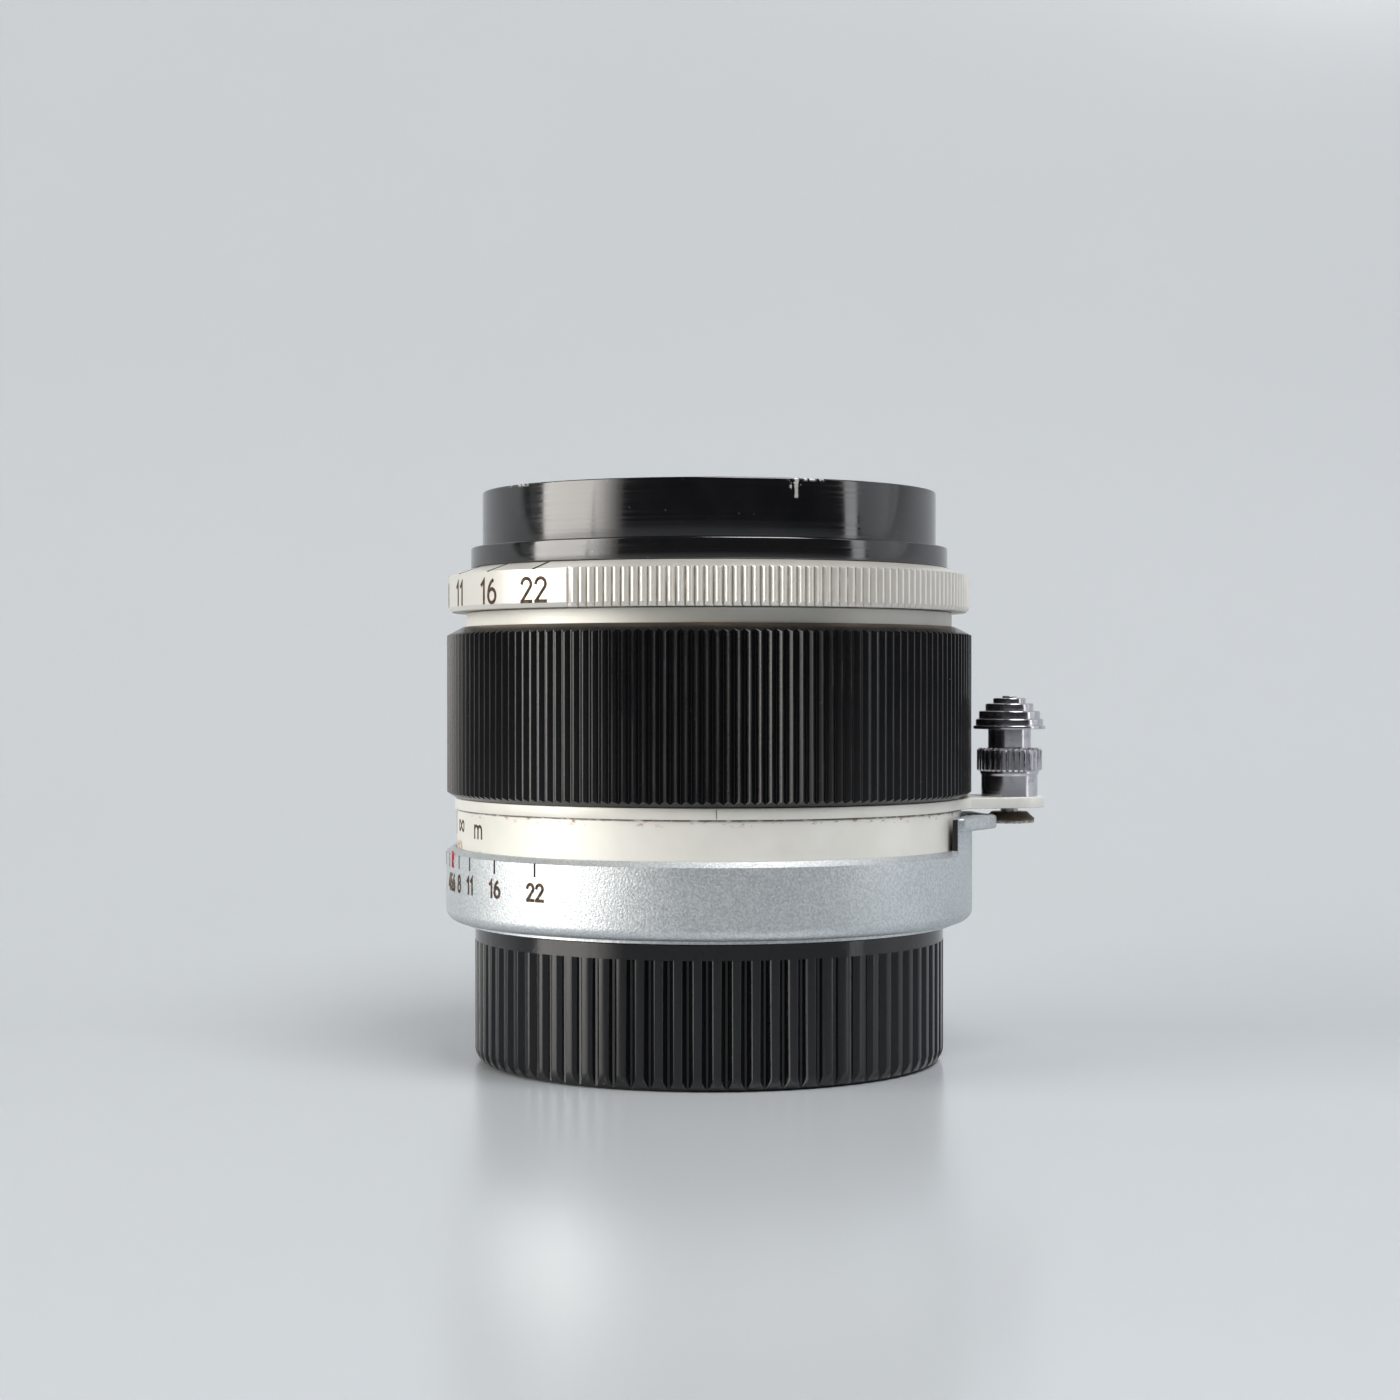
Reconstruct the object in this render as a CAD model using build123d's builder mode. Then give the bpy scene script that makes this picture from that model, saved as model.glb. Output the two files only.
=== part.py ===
from build123d import *
from math import cos, radians, sin
import os

# A 50 mm focusing lens with a 39 mm screw mount, standing on its rear cap.
# The optical axis is Z, z = 0 is the cap's underside, and +Z points out of the front.
# Angles on the rings are measured from +X towards +Y. All sizes are in millimetres.

os.makedirs("parts", exist_ok=True)

# ---- driving dimensions ----
BODY_R = 24.0            # depth scale ring, the widest round part
CAP_R = 21.39            # rear cap over its ribs
CAP_TOP = 12.5
FLANGE_Z = 12.55         # seat of the screw mount
SCALE_LOW = 12.85        # depth scale ring
SCALE_TOP = 19.46
DISTANCE_R = 23.01       # distance ring
PLATE_LOW = 22.92        # lock plate, between the distance ring and the grip
PLATE_TOP = 23.89
PLATE_R = 23.2
GRIP_R = 23.92
GRIP_TOP = 39.3
COLLAR_R = 22.13
COLLAR_TOP = 40.6
STOP_R = 23.75           # aperture ring
STOP_LOW = 40.65
STOP_TOP = 44.59
RETAINER_R = 21.74
RETAINER_TOP = 46.48
RIM_R = 20.69            # filter ring
RIM_TOP = 51.52

LOCK_X = 27.53           # axis of the infinity lock
LOCK_REACH = 30.66       # outer end of the lock plate's tab
LUG_START = -24.4        # the catch lug's two ends, in degrees
LUG_END = 9.0
LUG_TOP = 22.36
CATCH_LOW = 21.13

MOUNT_R = 19.5           # 39 mm screw mount, 26 threads an inch
MOUNT_PITCH = 25.4 / 26
FILTER_CREST_R = 19.75   # 40 mm filter thread
FILTER_ROOT_R = 20.0
FILTER_PITCH = 0.75

FIT = 0.02               # radial gap of pieces fixed together
RUNNING = 0.05           # radial gap of pieces that move on each other

BLADE_COUNT = 10
BLADE_R = 13.3           # circle of the iris blades' pins, and the blades' middle line
BLADE_WIDTH = 3.6
BLADE_SPAN = 140.0       # degrees between a blade's two pins
BLADE_RISE = 2.4         # a blade climbs this much from its pivot to its drive pin
BLADE_THICK = 0.05
BLADE_Z = 30.95
PIN_R = 0.4
CLOSING = 44.0           # blade turn from wide open to the smallest stop
STOP_TURN = 106.6        # aperture ring turn from 1.8 to 22
OPEN_TURN = 62.8         # aperture ring turn from its rest at 8 to 1.8

SEAT_TOP = 30.7          # iris blade seat
DRIVE_LOW = 33.6         # iris drive ring's slotted plate
DRIVE_TOP = 34.1
DRIVE_SCREW_Z = 42.1
DRIVE_SCREW_ANGLE = 60.0


# ---- shared shapes ----
def polar(radius, angle):
    return (radius * cos(radians(angle)), radius * sin(radians(angle)))


def turned(outline, mode=Mode.ADD, rounds=None, middle=0):
    """Turn a closed outline of (radius, height) points about the upright axis at x = middle.

    rounds gives the radius at each corner to be rounded, by the corner's place in the outline.
    """
    points = [(middle + radius, height) for radius, height in outline]
    with BuildSketch(Plane.XZ) as section:
        with BuildLine():
            if rounds:
                radii = [rounds.get(corner, 0) for corner in range(len(points))]
                FilletPolyline(*points, radius=radii, close=True)
            else:
                Polyline(*points, close=True)
        make_face()
    revolve(section.sketch, axis=Axis((middle, 0, 0), (0, 0, 1)), mode=mode)


def tube(inner, outer, low, high, mode=Mode.ADD):
    turned([(inner, low), (outer, low), (outer, high), (inner, high)], mode)


def thread_wall(crest, root, low, high, pitch, land):
    """Points up a threaded wall: flat crests of width land with one V groove a pitch."""
    grooves = int((high - low - land) / pitch)
    start = (low + high - grooves * pitch) / 2
    points = [(crest, low)]
    for groove in range(grooves):
        lower = start + groove * pitch + land / 2
        upper = lower + pitch - land
        points.append((crest, lower))
        points.append((root, (lower + upper) / 2))
        points.append((crest, upper))
    points.append((crest, high))
    return points


def rib_points(radius, depth, pitch, count, land, start=0.0):
    """Points round count ribs: a flat land on each, then a V groove. Angles in degrees."""
    points = []
    for rib in range(count):
        middle = start + rib * pitch
        points.append(polar(radius, middle - land * pitch / 2))
        points.append(polar(radius, middle + land * pitch / 2))
        points.append(polar(radius - depth, middle + pitch / 2))
    return points


def ribbed(points, low, high, middle=(0, 0)):
    """Extrude a closed ribbed outline from low to high."""
    with BuildSketch(Plane.XY.offset(low)) as section:
        with BuildLine():
            Polyline(*[(middle[0] + x, middle[1] + y) for x, y in points], close=True)
        make_face()
    extrude(section.sketch, amount=high - low)


def drill(radius, low, high, places, mode=Mode.SUBTRACT):
    """Axial round holes, or pegs, at a list of (x, y) places."""
    with BuildSketch(Plane.XY.offset(low)) as section:
        with Locations(*places):
            Circle(radius)
    extrude(section.sketch, amount=high - low, mode=mode)


def on_circle(radius, count, start=0.0):
    return [polar(radius, start + turn * 360 / count) for turn in range(count)]


def bulge(radius, sag):
    """Radius of curvature of a lens face that rises by sag over its edge radius."""
    return (radius * radius + sag * sag) / (2 * abs(sag))


def sag_at(curve, radius):
    return curve - (curve * curve - radius * radius) ** 0.5


def glass(edge, low, high, low_sag, high_sag, low_edge=None, high_edge=None):
    """A lens element. A positive sag moves the middle of that face towards the front."""
    low_edge = low_edge or edge
    high_edge = high_edge or edge

    def face(rim, height, sag):
        start = (0, height + sag)
        if sag == 0:
            Line(start, (rim, height))
            return
        curve = bulge(rim, sag)
        half = rim / 2
        drop = abs(sag) - sag_at(curve, half)
        middle = (half, height + (drop if sag > 0 else -drop))
        ThreePointArc(start, middle, (rim, height))

    with BuildSketch(Plane.XZ) as section:
        with BuildLine():
            face(low_edge, low, low_sag)
            if low_edge < edge:
                Line((low_edge, low), (edge, low))
            Line((edge, low), (edge, high))
            if high_edge < edge:
                Line((edge, high), (high_edge, high))
            face(high_edge, high, high_sag)
            Line((0, high + high_sag), (0, low + low_sag))
        make_face()
    revolve(section.sketch, axis=Axis.Z)


def finish(builder, name):
    builder.part.label = name
    export_step(builder.part, f"parts/{name}.step")


# ---- rear cap ----
CAP_RIBS = 81
CAP_RIB_TOP = 11.07
CAP_FLOOR = 1.8
CAP_RIB_DEPTH = 0.5

with BuildPart() as rear_cap:
    ribbed(rib_points(CAP_R, CAP_RIB_DEPTH, 360 / CAP_RIBS, CAP_RIBS, 0.45), 0, CAP_RIB_TOP)
    turned([(0, 0), (CAP_R - 0.6, 0), (CAP_R, 1.4), (CAP_R, CAP_TOP), (0, CAP_TOP)],
           Mode.INTERSECT, rounds={1: 0.5, 2: 1.2})
    turned([(0, CAP_RIB_TOP), (CAP_R - 0.02, CAP_RIB_TOP), (CAP_R - 0.02, CAP_TOP - 0.15),
            (CAP_R - 0.17, CAP_TOP), (0, CAP_TOP)])
    cap_thread = thread_wall(MOUNT_R + RUNNING, MOUNT_R + 0.55, 7.6, CAP_TOP, MOUNT_PITCH, 0.35)
    turned([(0, CAP_FLOOR), (18.6, CAP_FLOOR), (19.1, CAP_FLOOR + 0.5), (19.1, 7.2)]
           + cap_thread + [(0, CAP_TOP)], Mode.SUBTRACT)
    tube(15.5, 17.5, 0, 0.25, Mode.SUBTRACT)
finish(rear_cap, "rear_cap")

# ---- fixed mount: depth scale ring, screw mount and fixed helicoid ----
WEB_LOW = 13.6
WEB_TOP = 14.2
HELICOID_SEAT = 15.5
SEAT_R = 22.4
WEB_BORE = 19.9
SCALE_BORE = DISTANCE_R + 0.08
MOUNT_SCREW_R = 20.95
MOUNT_SCREWS = on_circle(MOUNT_SCREW_R, 4, 45)
MOUNT_SCREW_SHANK = 0.6
MOUNT_SCREW_HEAD = 1.1

with BuildPart() as depth_scale_ring:
    turned([(SEAT_R + FIT, SCALE_LOW), (BODY_R, SCALE_LOW), (BODY_R, SCALE_TOP - 0.45),
            (BODY_R - 0.6, SCALE_TOP), (SCALE_BORE, SCALE_TOP), (SCALE_BORE, HELICOID_SEAT),
            (SEAT_R + FIT, HELICOID_SEAT), (SEAT_R + FIT, WEB_TOP), (WEB_BORE, WEB_TOP),
            (WEB_BORE, WEB_LOW), (SEAT_R + FIT, WEB_LOW)], rounds={1: 1.05})
    # The lug is the ring's wall carried upwards, and the catch arm stands out from its top.
    lug_sweep = LUG_END - LUG_START
    with BuildSketch(Plane.XY.offset(SCALE_TOP - 0.6)) as lug:
        with BuildLine():
            outside = CenterArc((0, 0), BODY_R, LUG_START, lug_sweep)
            inside = CenterArc((0, 0), BODY_R - 0.5, LUG_START, lug_sweep)
            Line(outside @ 0, inside @ 0)
            Line(outside @ 1, inside @ 1)
        make_face()
    extrude(amount=LUG_TOP - SCALE_TOP + 0.6)
    near_end = polar(BODY_R - 0.45, LUG_START)
    far_end = polar(BODY_R - 0.45, LUG_END)
    with BuildSketch(Plane.XY.offset(CATCH_LOW)):
        with BuildLine():
            Polyline(near_end, (22.4, -9.85), (25.5, -4.6), (25.95, -3.6), (25.95, -1.0), (25.0, 0.6),
                     polar(24.9, LUG_END), far_end)
            ThreePointArc(far_end, (BODY_R - 0.45, 0), near_end)
        make_face()
        with Locations((LOCK_X, 0)):
            Circle(2.42, mode=Mode.SUBTRACT)
    extrude(amount=LUG_TOP - CATCH_LOW)
    drill(MOUNT_SCREW_SHANK + FIT, WEB_LOW, WEB_TOP, MOUNT_SCREWS)
finish(depth_scale_ring, "depth_scale_ring")

MOUNT_BORE = 17.2
with BuildPart() as screw_mount:
    turned([(MOUNT_BORE, 8.0), (18.9, 8.0)]
           + thread_wall(MOUNT_R, MOUNT_R - 0.55, 8.4, FLANGE_Z - 0.25, MOUNT_PITCH, 0.3)
           + [(19.2, FLANGE_Z - 0.2), (19.2, FLANGE_Z), (SEAT_R, FLANGE_Z), (SEAT_R, WEB_LOW),
              (MOUNT_BORE, WEB_LOW)])
    drill(MOUNT_SCREW_SHANK + FIT, FLANGE_Z, WEB_LOW, MOUNT_SCREWS)
    for place in MOUNT_SCREWS:
        with Locations(Location((*place, FLANGE_Z + 0.3))):
            Cone(MOUNT_SCREW_HEAD + FIT, MOUNT_SCREW_HEAD - 0.28, 0.6, mode=Mode.SUBTRACT)
finish(screw_mount, "screw_mount")

HELICOID_BORE = 16.9
HELICOID_CREST = 18.9
HELICOID_TOP = 27.0
KEY_WIDTH = 4.0
KEY_LOW = 16.2
KEY_HIGH = 22.0
KEY_SCREW_Z = 19.1

with BuildPart() as fixed_helicoid:
    turned([(HELICOID_BORE, WEB_LOW), (HELICOID_CREST, WEB_LOW), (HELICOID_CREST, WEB_TOP),
            (SEAT_R, WEB_TOP), (SEAT_R, HELICOID_SEAT)]
           + thread_wall(HELICOID_CREST, HELICOID_CREST - 0.5, HELICOID_SEAT, HELICOID_TOP, 1.49, 0.45)
           + [(HELICOID_BORE, HELICOID_TOP)])
    drill(MOUNT_SCREW_SHANK + FIT, WEB_TOP, HELICOID_SEAT, MOUNT_SCREWS)
    with BuildSketch(Plane.XZ.offset(-19)):
        with Locations((0, KEY_SCREW_Z)):
            Circle(0.6 + FIT)
    extrude(amount=38, mode=Mode.SUBTRACT)
finish(fixed_helicoid, "fixed_helicoid")

with BuildPart() as mount_screws:
    drill(MOUNT_SCREW_SHANK, FLANGE_Z + 0.6, HELICOID_SEAT, MOUNT_SCREWS, Mode.ADD)
    for place in MOUNT_SCREWS:
        with Locations(Location((*place, FLANGE_Z + 0.3))):
            Cone(MOUNT_SCREW_HEAD, MOUNT_SCREW_HEAD - 0.3, 0.6)
        with Locations(Location((*place, FLANGE_Z + 0.1), MOUNT_SCREWS.index(place) * 37)):
            Box(2.3, 0.28, 0.2, mode=Mode.SUBTRACT)
finish(mount_screws, "mount_screws")

# Two straight keys on the fixed helicoid keep the lens head from turning.
KEY_INNER = 15.9
with BuildPart() as guide_keys:
    for side in (-1, 1):
        middle = side * (KEY_INNER + HELICOID_BORE) / 2
        with Locations((0, middle, (KEY_LOW + KEY_HIGH) / 2)):
            Box(KEY_WIDTH, HELICOID_BORE - KEY_INNER, KEY_HIGH - KEY_LOW)
    tube(HELICOID_BORE - 0.005, 20, KEY_LOW - 1, KEY_HIGH + 1, Mode.SUBTRACT)
    with BuildSketch(Plane.XZ.offset(-19)):
        with Locations((0, KEY_SCREW_Z)):
            Circle(0.6 + FIT)
    extrude(amount=38, mode=Mode.SUBTRACT)
    for side in (-1, 1):
        with Locations(Location((0, side * (KEY_INNER + 0.22), KEY_SCREW_Z), (90, 0, 0))):
            Cylinder(1.1 + FIT, 0.46, mode=Mode.SUBTRACT)
finish(guide_keys, "guide_keys")

with BuildPart() as key_screws:
    for side in (-1, 1):
        with Locations(Location((0, side * (KEY_INNER + 0.24), KEY_SCREW_Z), (90, 0, 0))):
            Cylinder(1.1, 0.4)
        with Locations(Location((0, side * (KEY_INNER + 1.4), KEY_SCREW_Z), (90, 0, 0))):
            Cylinder(0.6, 2.2)
finish(key_screws, "key_screws")

# ---- lens head: barrel and its rings ----
BARREL_R = 16.8
BARREL_REAR = 8.0
BARREL_BORE = 13.5
IRIS_BORE = 16.05
HEAD_FLANGE_LOW = 38.0
HEAD_FLANGE_TOP = 39.9
HEAD_FLANGE_R = 21.5
SPIGOT_R = 20.3
SPIGOT_BORE = 17.8
SPIGOT_TOP = 46.45
CLICK_R = 20.9
CLICK_PLACE = [polar(CLICK_R, 15)]
CLICK_HOLE = 0.45
RIM_SCREW_R = 19.35
RIM_SCREWS = on_circle(RIM_SCREW_R, 3, 80)

with BuildPart() as inner_barrel:
    turned([(15.0, 6.2), (16.0, 6.2), (16.0, BARREL_REAR), (BARREL_R, BARREL_REAR),
            (BARREL_R, HEAD_FLANGE_LOW), (HEAD_FLANGE_R, HEAD_FLANGE_LOW),
            (HEAD_FLANGE_R, HEAD_FLANGE_TOP), (SPIGOT_R, HEAD_FLANGE_TOP), (SPIGOT_R, SPIGOT_TOP),
            (SPIGOT_BORE, SPIGOT_TOP), (SPIGOT_BORE, 40.4), (IRIS_BORE, 38.6), (IRIS_BORE, 29.5),
            (BARREL_BORE, 29.5), (BARREL_BORE, 9.5), (15.0, 9.5)])
    for side in (-1, 1):
        with Locations((0, side * (KEY_INNER - 0.05 + 1.0), 17.75)):
            Box(KEY_WIDTH + 2 * RUNNING, 2.0, 12.5, mode=Mode.SUBTRACT)
    # The drive screw of the aperture ring passes through a slot in the spigot.
    slot_start = DRIVE_SCREW_ANGLE - (STOP_TURN - OPEN_TURN) - 3.2
    slot_sweep = STOP_TURN + 6.4
    with BuildSketch(Plane.XY.offset(DRIVE_SCREW_Z - 0.75)):
        with BuildLine():
            outside = CenterArc((0, 0), SPIGOT_R + 1, slot_start, slot_sweep)
            inside = CenterArc((0, 0), SPIGOT_BORE - 0.5, slot_start, slot_sweep)
            Line(outside @ 0, inside @ 0)
            Line(outside @ 1, inside @ 1)
        make_face()
    extrude(amount=1.5, mode=Mode.SUBTRACT)
    drill(CLICK_HOLE, HEAD_FLANGE_LOW + 0.3, HEAD_FLANGE_TOP, CLICK_PLACE)
    drill(0.42, SPIGOT_TOP - 2.6, SPIGOT_TOP, RIM_SCREWS)
finish(inner_barrel, "inner_barrel")

with BuildPart() as front_collar:
    turned([(HEAD_FLANGE_R + FIT, 36.0), (COLLAR_R, 36.0), (COLLAR_R, COLLAR_TOP - 0.1),
            (COLLAR_R - 0.1, COLLAR_TOP), (SPIGOT_R + FIT, COLLAR_TOP),
            (SPIGOT_R + FIT, HEAD_FLANGE_TOP), (HEAD_FLANGE_R + FIT, HEAD_FLANGE_TOP)])
    drill(CLICK_HOLE, HEAD_FLANGE_TOP, COLLAR_TOP, CLICK_PLACE)
finish(front_collar, "front_collar")

with BuildPart() as click_ball:
    with Locations((*CLICK_PLACE[0], COLLAR_TOP - 0.25)):
        Sphere(CLICK_HOLE - 0.03)
finish(click_ball, "click_ball")

CLICK_WIRE = 0.07
CLICK_SPRING_LOW = HEAD_FLANGE_LOW + 0.3 + CLICK_WIRE + 0.01
with BuildPart() as click_spring:
    with BuildLine() as click_coil:
        Helix(0.24, 1.44, 0.3, center=(*CLICK_PLACE[0], CLICK_SPRING_LOW))
    with BuildSketch(Plane(origin=click_coil.line @ 0, z_dir=click_coil.line % 0)):
        Circle(CLICK_WIRE)
    sweep(path=click_coil.line)
finish(click_spring, "click_spring")

with BuildPart() as head_retainer:
    tube(BARREL_R + FIT, 18.6, 33.3, 34.9)
    with BuildSketch(Plane.XY.offset(33.3)):
        with Locations(*on_circle(18.6, 4)):
            Rectangle(1.4, 1.4)
    extrude(amount=0.7, mode=Mode.SUBTRACT)
finish(head_retainer, "head_retainer")

with BuildPart() as aperture_retainer:
    turned([(SPIGOT_R + FIT, 44.64), (RETAINER_R - 0.12, 44.64), (RETAINER_R, 44.76),
            (RETAINER_R, RETAINER_TOP - 0.18), (RETAINER_R - 0.18, RETAINER_TOP),
            (SPIGOT_R + FIT, RETAINER_TOP)])
finish(aperture_retainer, "aperture_retainer")

THREAD_LOW = 48.2
THREAD_TOP = RIM_TOP - 0.25
NAME_R = 19.25
with BuildPart() as filter_ring:
    filter_wall = thread_wall(FILTER_CREST_R, FILTER_ROOT_R, THREAD_LOW, THREAD_TOP, FILTER_PITCH, 0.35)
    turned([(18.4, RETAINER_TOP), (RIM_R - 0.1, RETAINER_TOP), (RIM_R, RETAINER_TOP + 0.1),
            (RIM_R, RIM_TOP - 0.12), (RIM_R - 0.12, RIM_TOP), (FILTER_CREST_R + 0.35, RIM_TOP)]
           + filter_wall[::-1]
           + [(NAME_R + FIT, THREAD_LOW), (NAME_R + FIT, 47.25), (18.4, 47.25)])
    drill(0.42, RETAINER_TOP, 47.25, RIM_SCREWS)
    drill(0.72, 46.85, 47.25, RIM_SCREWS)
finish(filter_ring, "filter_ring")

with BuildPart() as filter_ring_screws:
    drill(0.4, SPIGOT_TOP - 2.4, 46.87, RIM_SCREWS, Mode.ADD)
    drill(0.7, 46.87, 47.25, RIM_SCREWS, Mode.ADD)
    for place in RIM_SCREWS:
        with Locations((*place, 47.2)):
            Box(1.5, 0.2, 0.2, mode=Mode.SUBTRACT)
finish(filter_ring_screws, "filter_ring_screws")

FRONT_GLASS_R = 14.2
NAME_BORE = 13.6
NAME_LIP_R = FRONT_GLASS_R - RUNNING
NAME_LIP_LOW = 45.72     # the lip reaches down to just clear of the front glass
NAME_LOW = 47.27
NAME_TOP = 48.1
with BuildPart() as name_ring:
    turned([(NAME_BORE, NAME_LIP_LOW), (NAME_LIP_R, NAME_LIP_LOW), (NAME_LIP_R, NAME_LOW), (NAME_R, NAME_LOW),
            (NAME_R, NAME_TOP), (18.6, NAME_TOP), (18.4, 47.95), (NAME_BORE + 0.3, 47.5), (NAME_BORE, 47.2)])
finish(name_ring, "name_ring")

# ---- lens head: front glass ----
DOUBLET_R = 12.6
FRONT_SEAT = 43.4
with BuildPart() as front_cell:
    turned([(9.7, 34.2), (14.8, 34.2), (14.8, 43.2), (17.7, 43.2), (17.7, SPIGOT_TOP + 0.03),
            (18.35, SPIGOT_TOP + 0.03), (18.35, 47.25), (FRONT_GLASS_R + FIT, 47.25),
            (FRONT_GLASS_R + FIT, FRONT_SEAT - FIT), (DOUBLET_R + FIT, FRONT_SEAT - FIT),
            (DOUBLET_R + FIT, 34.88), (9.7, 34.88)])
finish(front_cell, "front_cell")

with BuildPart() as front_element:
    glass(FRONT_GLASS_R, FRONT_SEAT, FRONT_SEAT + 2.0, 0.7, 2.7)
finish(front_element, "front_element")

with BuildPart() as front_doublet_crown:
    glass(DOUBLET_R, 39.2, 42.0, 0, 1.9)
finish(front_doublet_crown, "front_doublet_crown")

with BuildPart() as front_doublet_flint:
    glass(DOUBLET_R, 34.9, 39.2, 3.3, 0, low_edge=9.5)
finish(front_doublet_flint, "front_doublet_flint")

with BuildPart() as front_doublet_ring:
    tube(11.9, DOUBLET_R, 42.3, 43.3)
    with BuildSketch(Plane.XY.offset(42.9)):
        Rectangle(26, 0.8)
    extrude(amount=0.4, mode=Mode.SUBTRACT)
finish(front_doublet_ring, "front_doublet_ring")

# ---- lens head: rear glass and rangefinder cam ----
REAR_DOUBLET_R = 10.6
REAR_GLASS_R = 11.2
with BuildPart() as rear_cell:
    turned([(REAR_GLASS_R + FIT, BARREL_REAR), (14.95, BARREL_REAR), (14.95, 9.48),
            (BARREL_BORE - FIT, 9.48), (BARREL_BORE - FIT, 29.4), (REAR_DOUBLET_R + FIT, 29.4),
            (REAR_DOUBLET_R + FIT, 20.6), (10.1, 20.6), (10.1, 16.2), (REAR_GLASS_R + FIT, 16.2)])
finish(rear_cell, "rear_cell")

with BuildPart() as rear_doublet_flint:
    glass(REAR_DOUBLET_R, 23.6, 28.0, 0, -3.2, high_edge=8.9)
finish(rear_doublet_flint, "rear_doublet_flint")

with BuildPart() as rear_doublet_crown:
    glass(REAR_DOUBLET_R, 20.9, 23.6, -2.36, 0)
finish(rear_doublet_crown, "rear_doublet_crown")

with BuildPart() as rear_doublet_ring:
    tube(9.3, REAR_DOUBLET_R, 28.0, 28.9)
finish(rear_doublet_ring, "rear_doublet_ring")

with BuildPart() as rear_element:
    glass(REAR_GLASS_R, 13.5, 15.95, -1.6, 1.0)
finish(rear_element, "rear_element")

with BuildPart() as rear_element_ring:
    tube(10.6, REAR_GLASS_R, 11.6, 13.3)
    with BuildSketch(Plane.XY.offset(11.6)):
        Rectangle(24, 0.9)
    extrude(amount=0.5, mode=Mode.SUBTRACT)
finish(rear_element_ring, "rear_element_ring")

CAM_REAR = 5.05
with BuildPart() as rangefinder_cam:
    turned([(14.6, CAM_REAR), (BARREL_R - 0.1, CAM_REAR), (BARREL_R, CAM_REAR + 0.1),
            (BARREL_R, BARREL_REAR), (16.0 + FIT, BARREL_REAR), (16.0 + FIT, 6.18), (14.6, 6.18)])
finish(rangefinder_cam, "rangefinder_cam")

# ---- iris ----
PIVOTS = on_circle(BLADE_R, BLADE_COUNT)
with BuildPart() as blade_seat:
    tube(11.6, IRIS_BORE - FIT, 29.5, SEAT_TOP)
    drill(PIN_R + RUNNING, 29.5, SEAT_TOP, PIVOTS)
finish(blade_seat, "blade_seat")

# An open blade is a thin ramp round the axis, clockwise from its pivot at angle zero.
ROUND_END = 12.0
ramp_pitch = BLADE_RISE * 360 / BLADE_SPAN
ramp_sweep = BLADE_SPAN + 2 * ROUND_END
ramp_low = BLADE_Z - BLADE_RISE * ROUND_END / BLADE_SPAN
open_pivot = (BLADE_R, 0)
open_drive = polar(BLADE_R, -BLADE_SPAN)
drive_height = BLADE_Z + BLADE_RISE
with BuildPart() as open_blade:
    with BuildLine() as ramp:
        Helix(ramp_pitch, ramp_pitch * ramp_sweep / 360, BLADE_R, center=(0, 0, ramp_low), lefthand=True)
    with BuildSketch(Plane.XZ):
        with Locations((BLADE_R, ramp_low)):
            Rectangle(BLADE_WIDTH + 1, BLADE_THICK)
    sweep(path=ramp.line, is_frenet=True)
    with BuildSketch(Plane.XY.offset(ramp_low - 1)):
        SlotArc(CenterArc((0, 0), BLADE_R, -BLADE_SPAN, BLADE_SPAN), BLADE_WIDTH, rotation=-ROUND_END)
    extrude(amount=BLADE_RISE + 2, mode=Mode.INTERSECT)
blade_shape = open_blade.part.rotate(Axis.Z, ROUND_END)

rest_closing = CLOSING * OPEN_TURN / STOP_TURN
blade_pivot_axis = Axis((BLADE_R, 0, 0), (0, 0, 1))
for number in range(BLADE_COUNT):
    with BuildPart() as iris_blade:
        add(blade_shape)
        drill(PIN_R, 29.75, BLADE_Z + 0.03, [open_pivot], Mode.ADD)
        drill(PIN_R, drive_height - 0.03, DRIVE_TOP - 0.05, [open_drive], Mode.ADD)
    posed = iris_blade.part.rotate(blade_pivot_axis, -rest_closing)
    posed = posed.rotate(Axis.Z, number * 360 / BLADE_COUNT)
    posed.label = f"iris_blade_{number + 1:02d}"
    export_step(posed, f"parts/iris_blade_{number + 1:02d}.step")


def slot_point(share):
    """Where a blade's drive pin is on the drive ring, seen at rest. Share 0 is open, 1 closed."""
    turn = radians(-CLOSING * share)
    arm_x = open_drive[0] - open_pivot[0]
    arm_y = open_drive[1] - open_pivot[1]
    pin_x = open_pivot[0] + arm_x * cos(turn) - arm_y * sin(turn)
    pin_y = open_pivot[1] + arm_x * sin(turn) + arm_y * cos(turn)
    ring_turn = radians(OPEN_TURN - STOP_TURN * share)
    return (pin_x * cos(ring_turn) + pin_y * sin(ring_turn), pin_y * cos(ring_turn) - pin_x * sin(ring_turn))


SLOT_STEPS = 5
SLOT_GAP = 0.08
DRIVE_TUBE_BORE = 14.87
DRIVE_TUBE_R = 15.4
DRIVE_RIM_R = 17.6
radial_screw = Plane(origin=(0, 0, DRIVE_SCREW_Z), x_dir=(0, 0, 1), z_dir=(*polar(1, DRIVE_SCREW_ANGLE), 0))


def radial_peg(radius, inner, outer, mode=Mode.SUBTRACT):
    """A round hole, or peg, along the drive screw's axis, from one radius out to another."""
    with BuildSketch(radial_screw.offset(inner)) as section:
        Circle(radius)
    extrude(section.sketch, amount=outer - inner, mode=mode)


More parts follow.
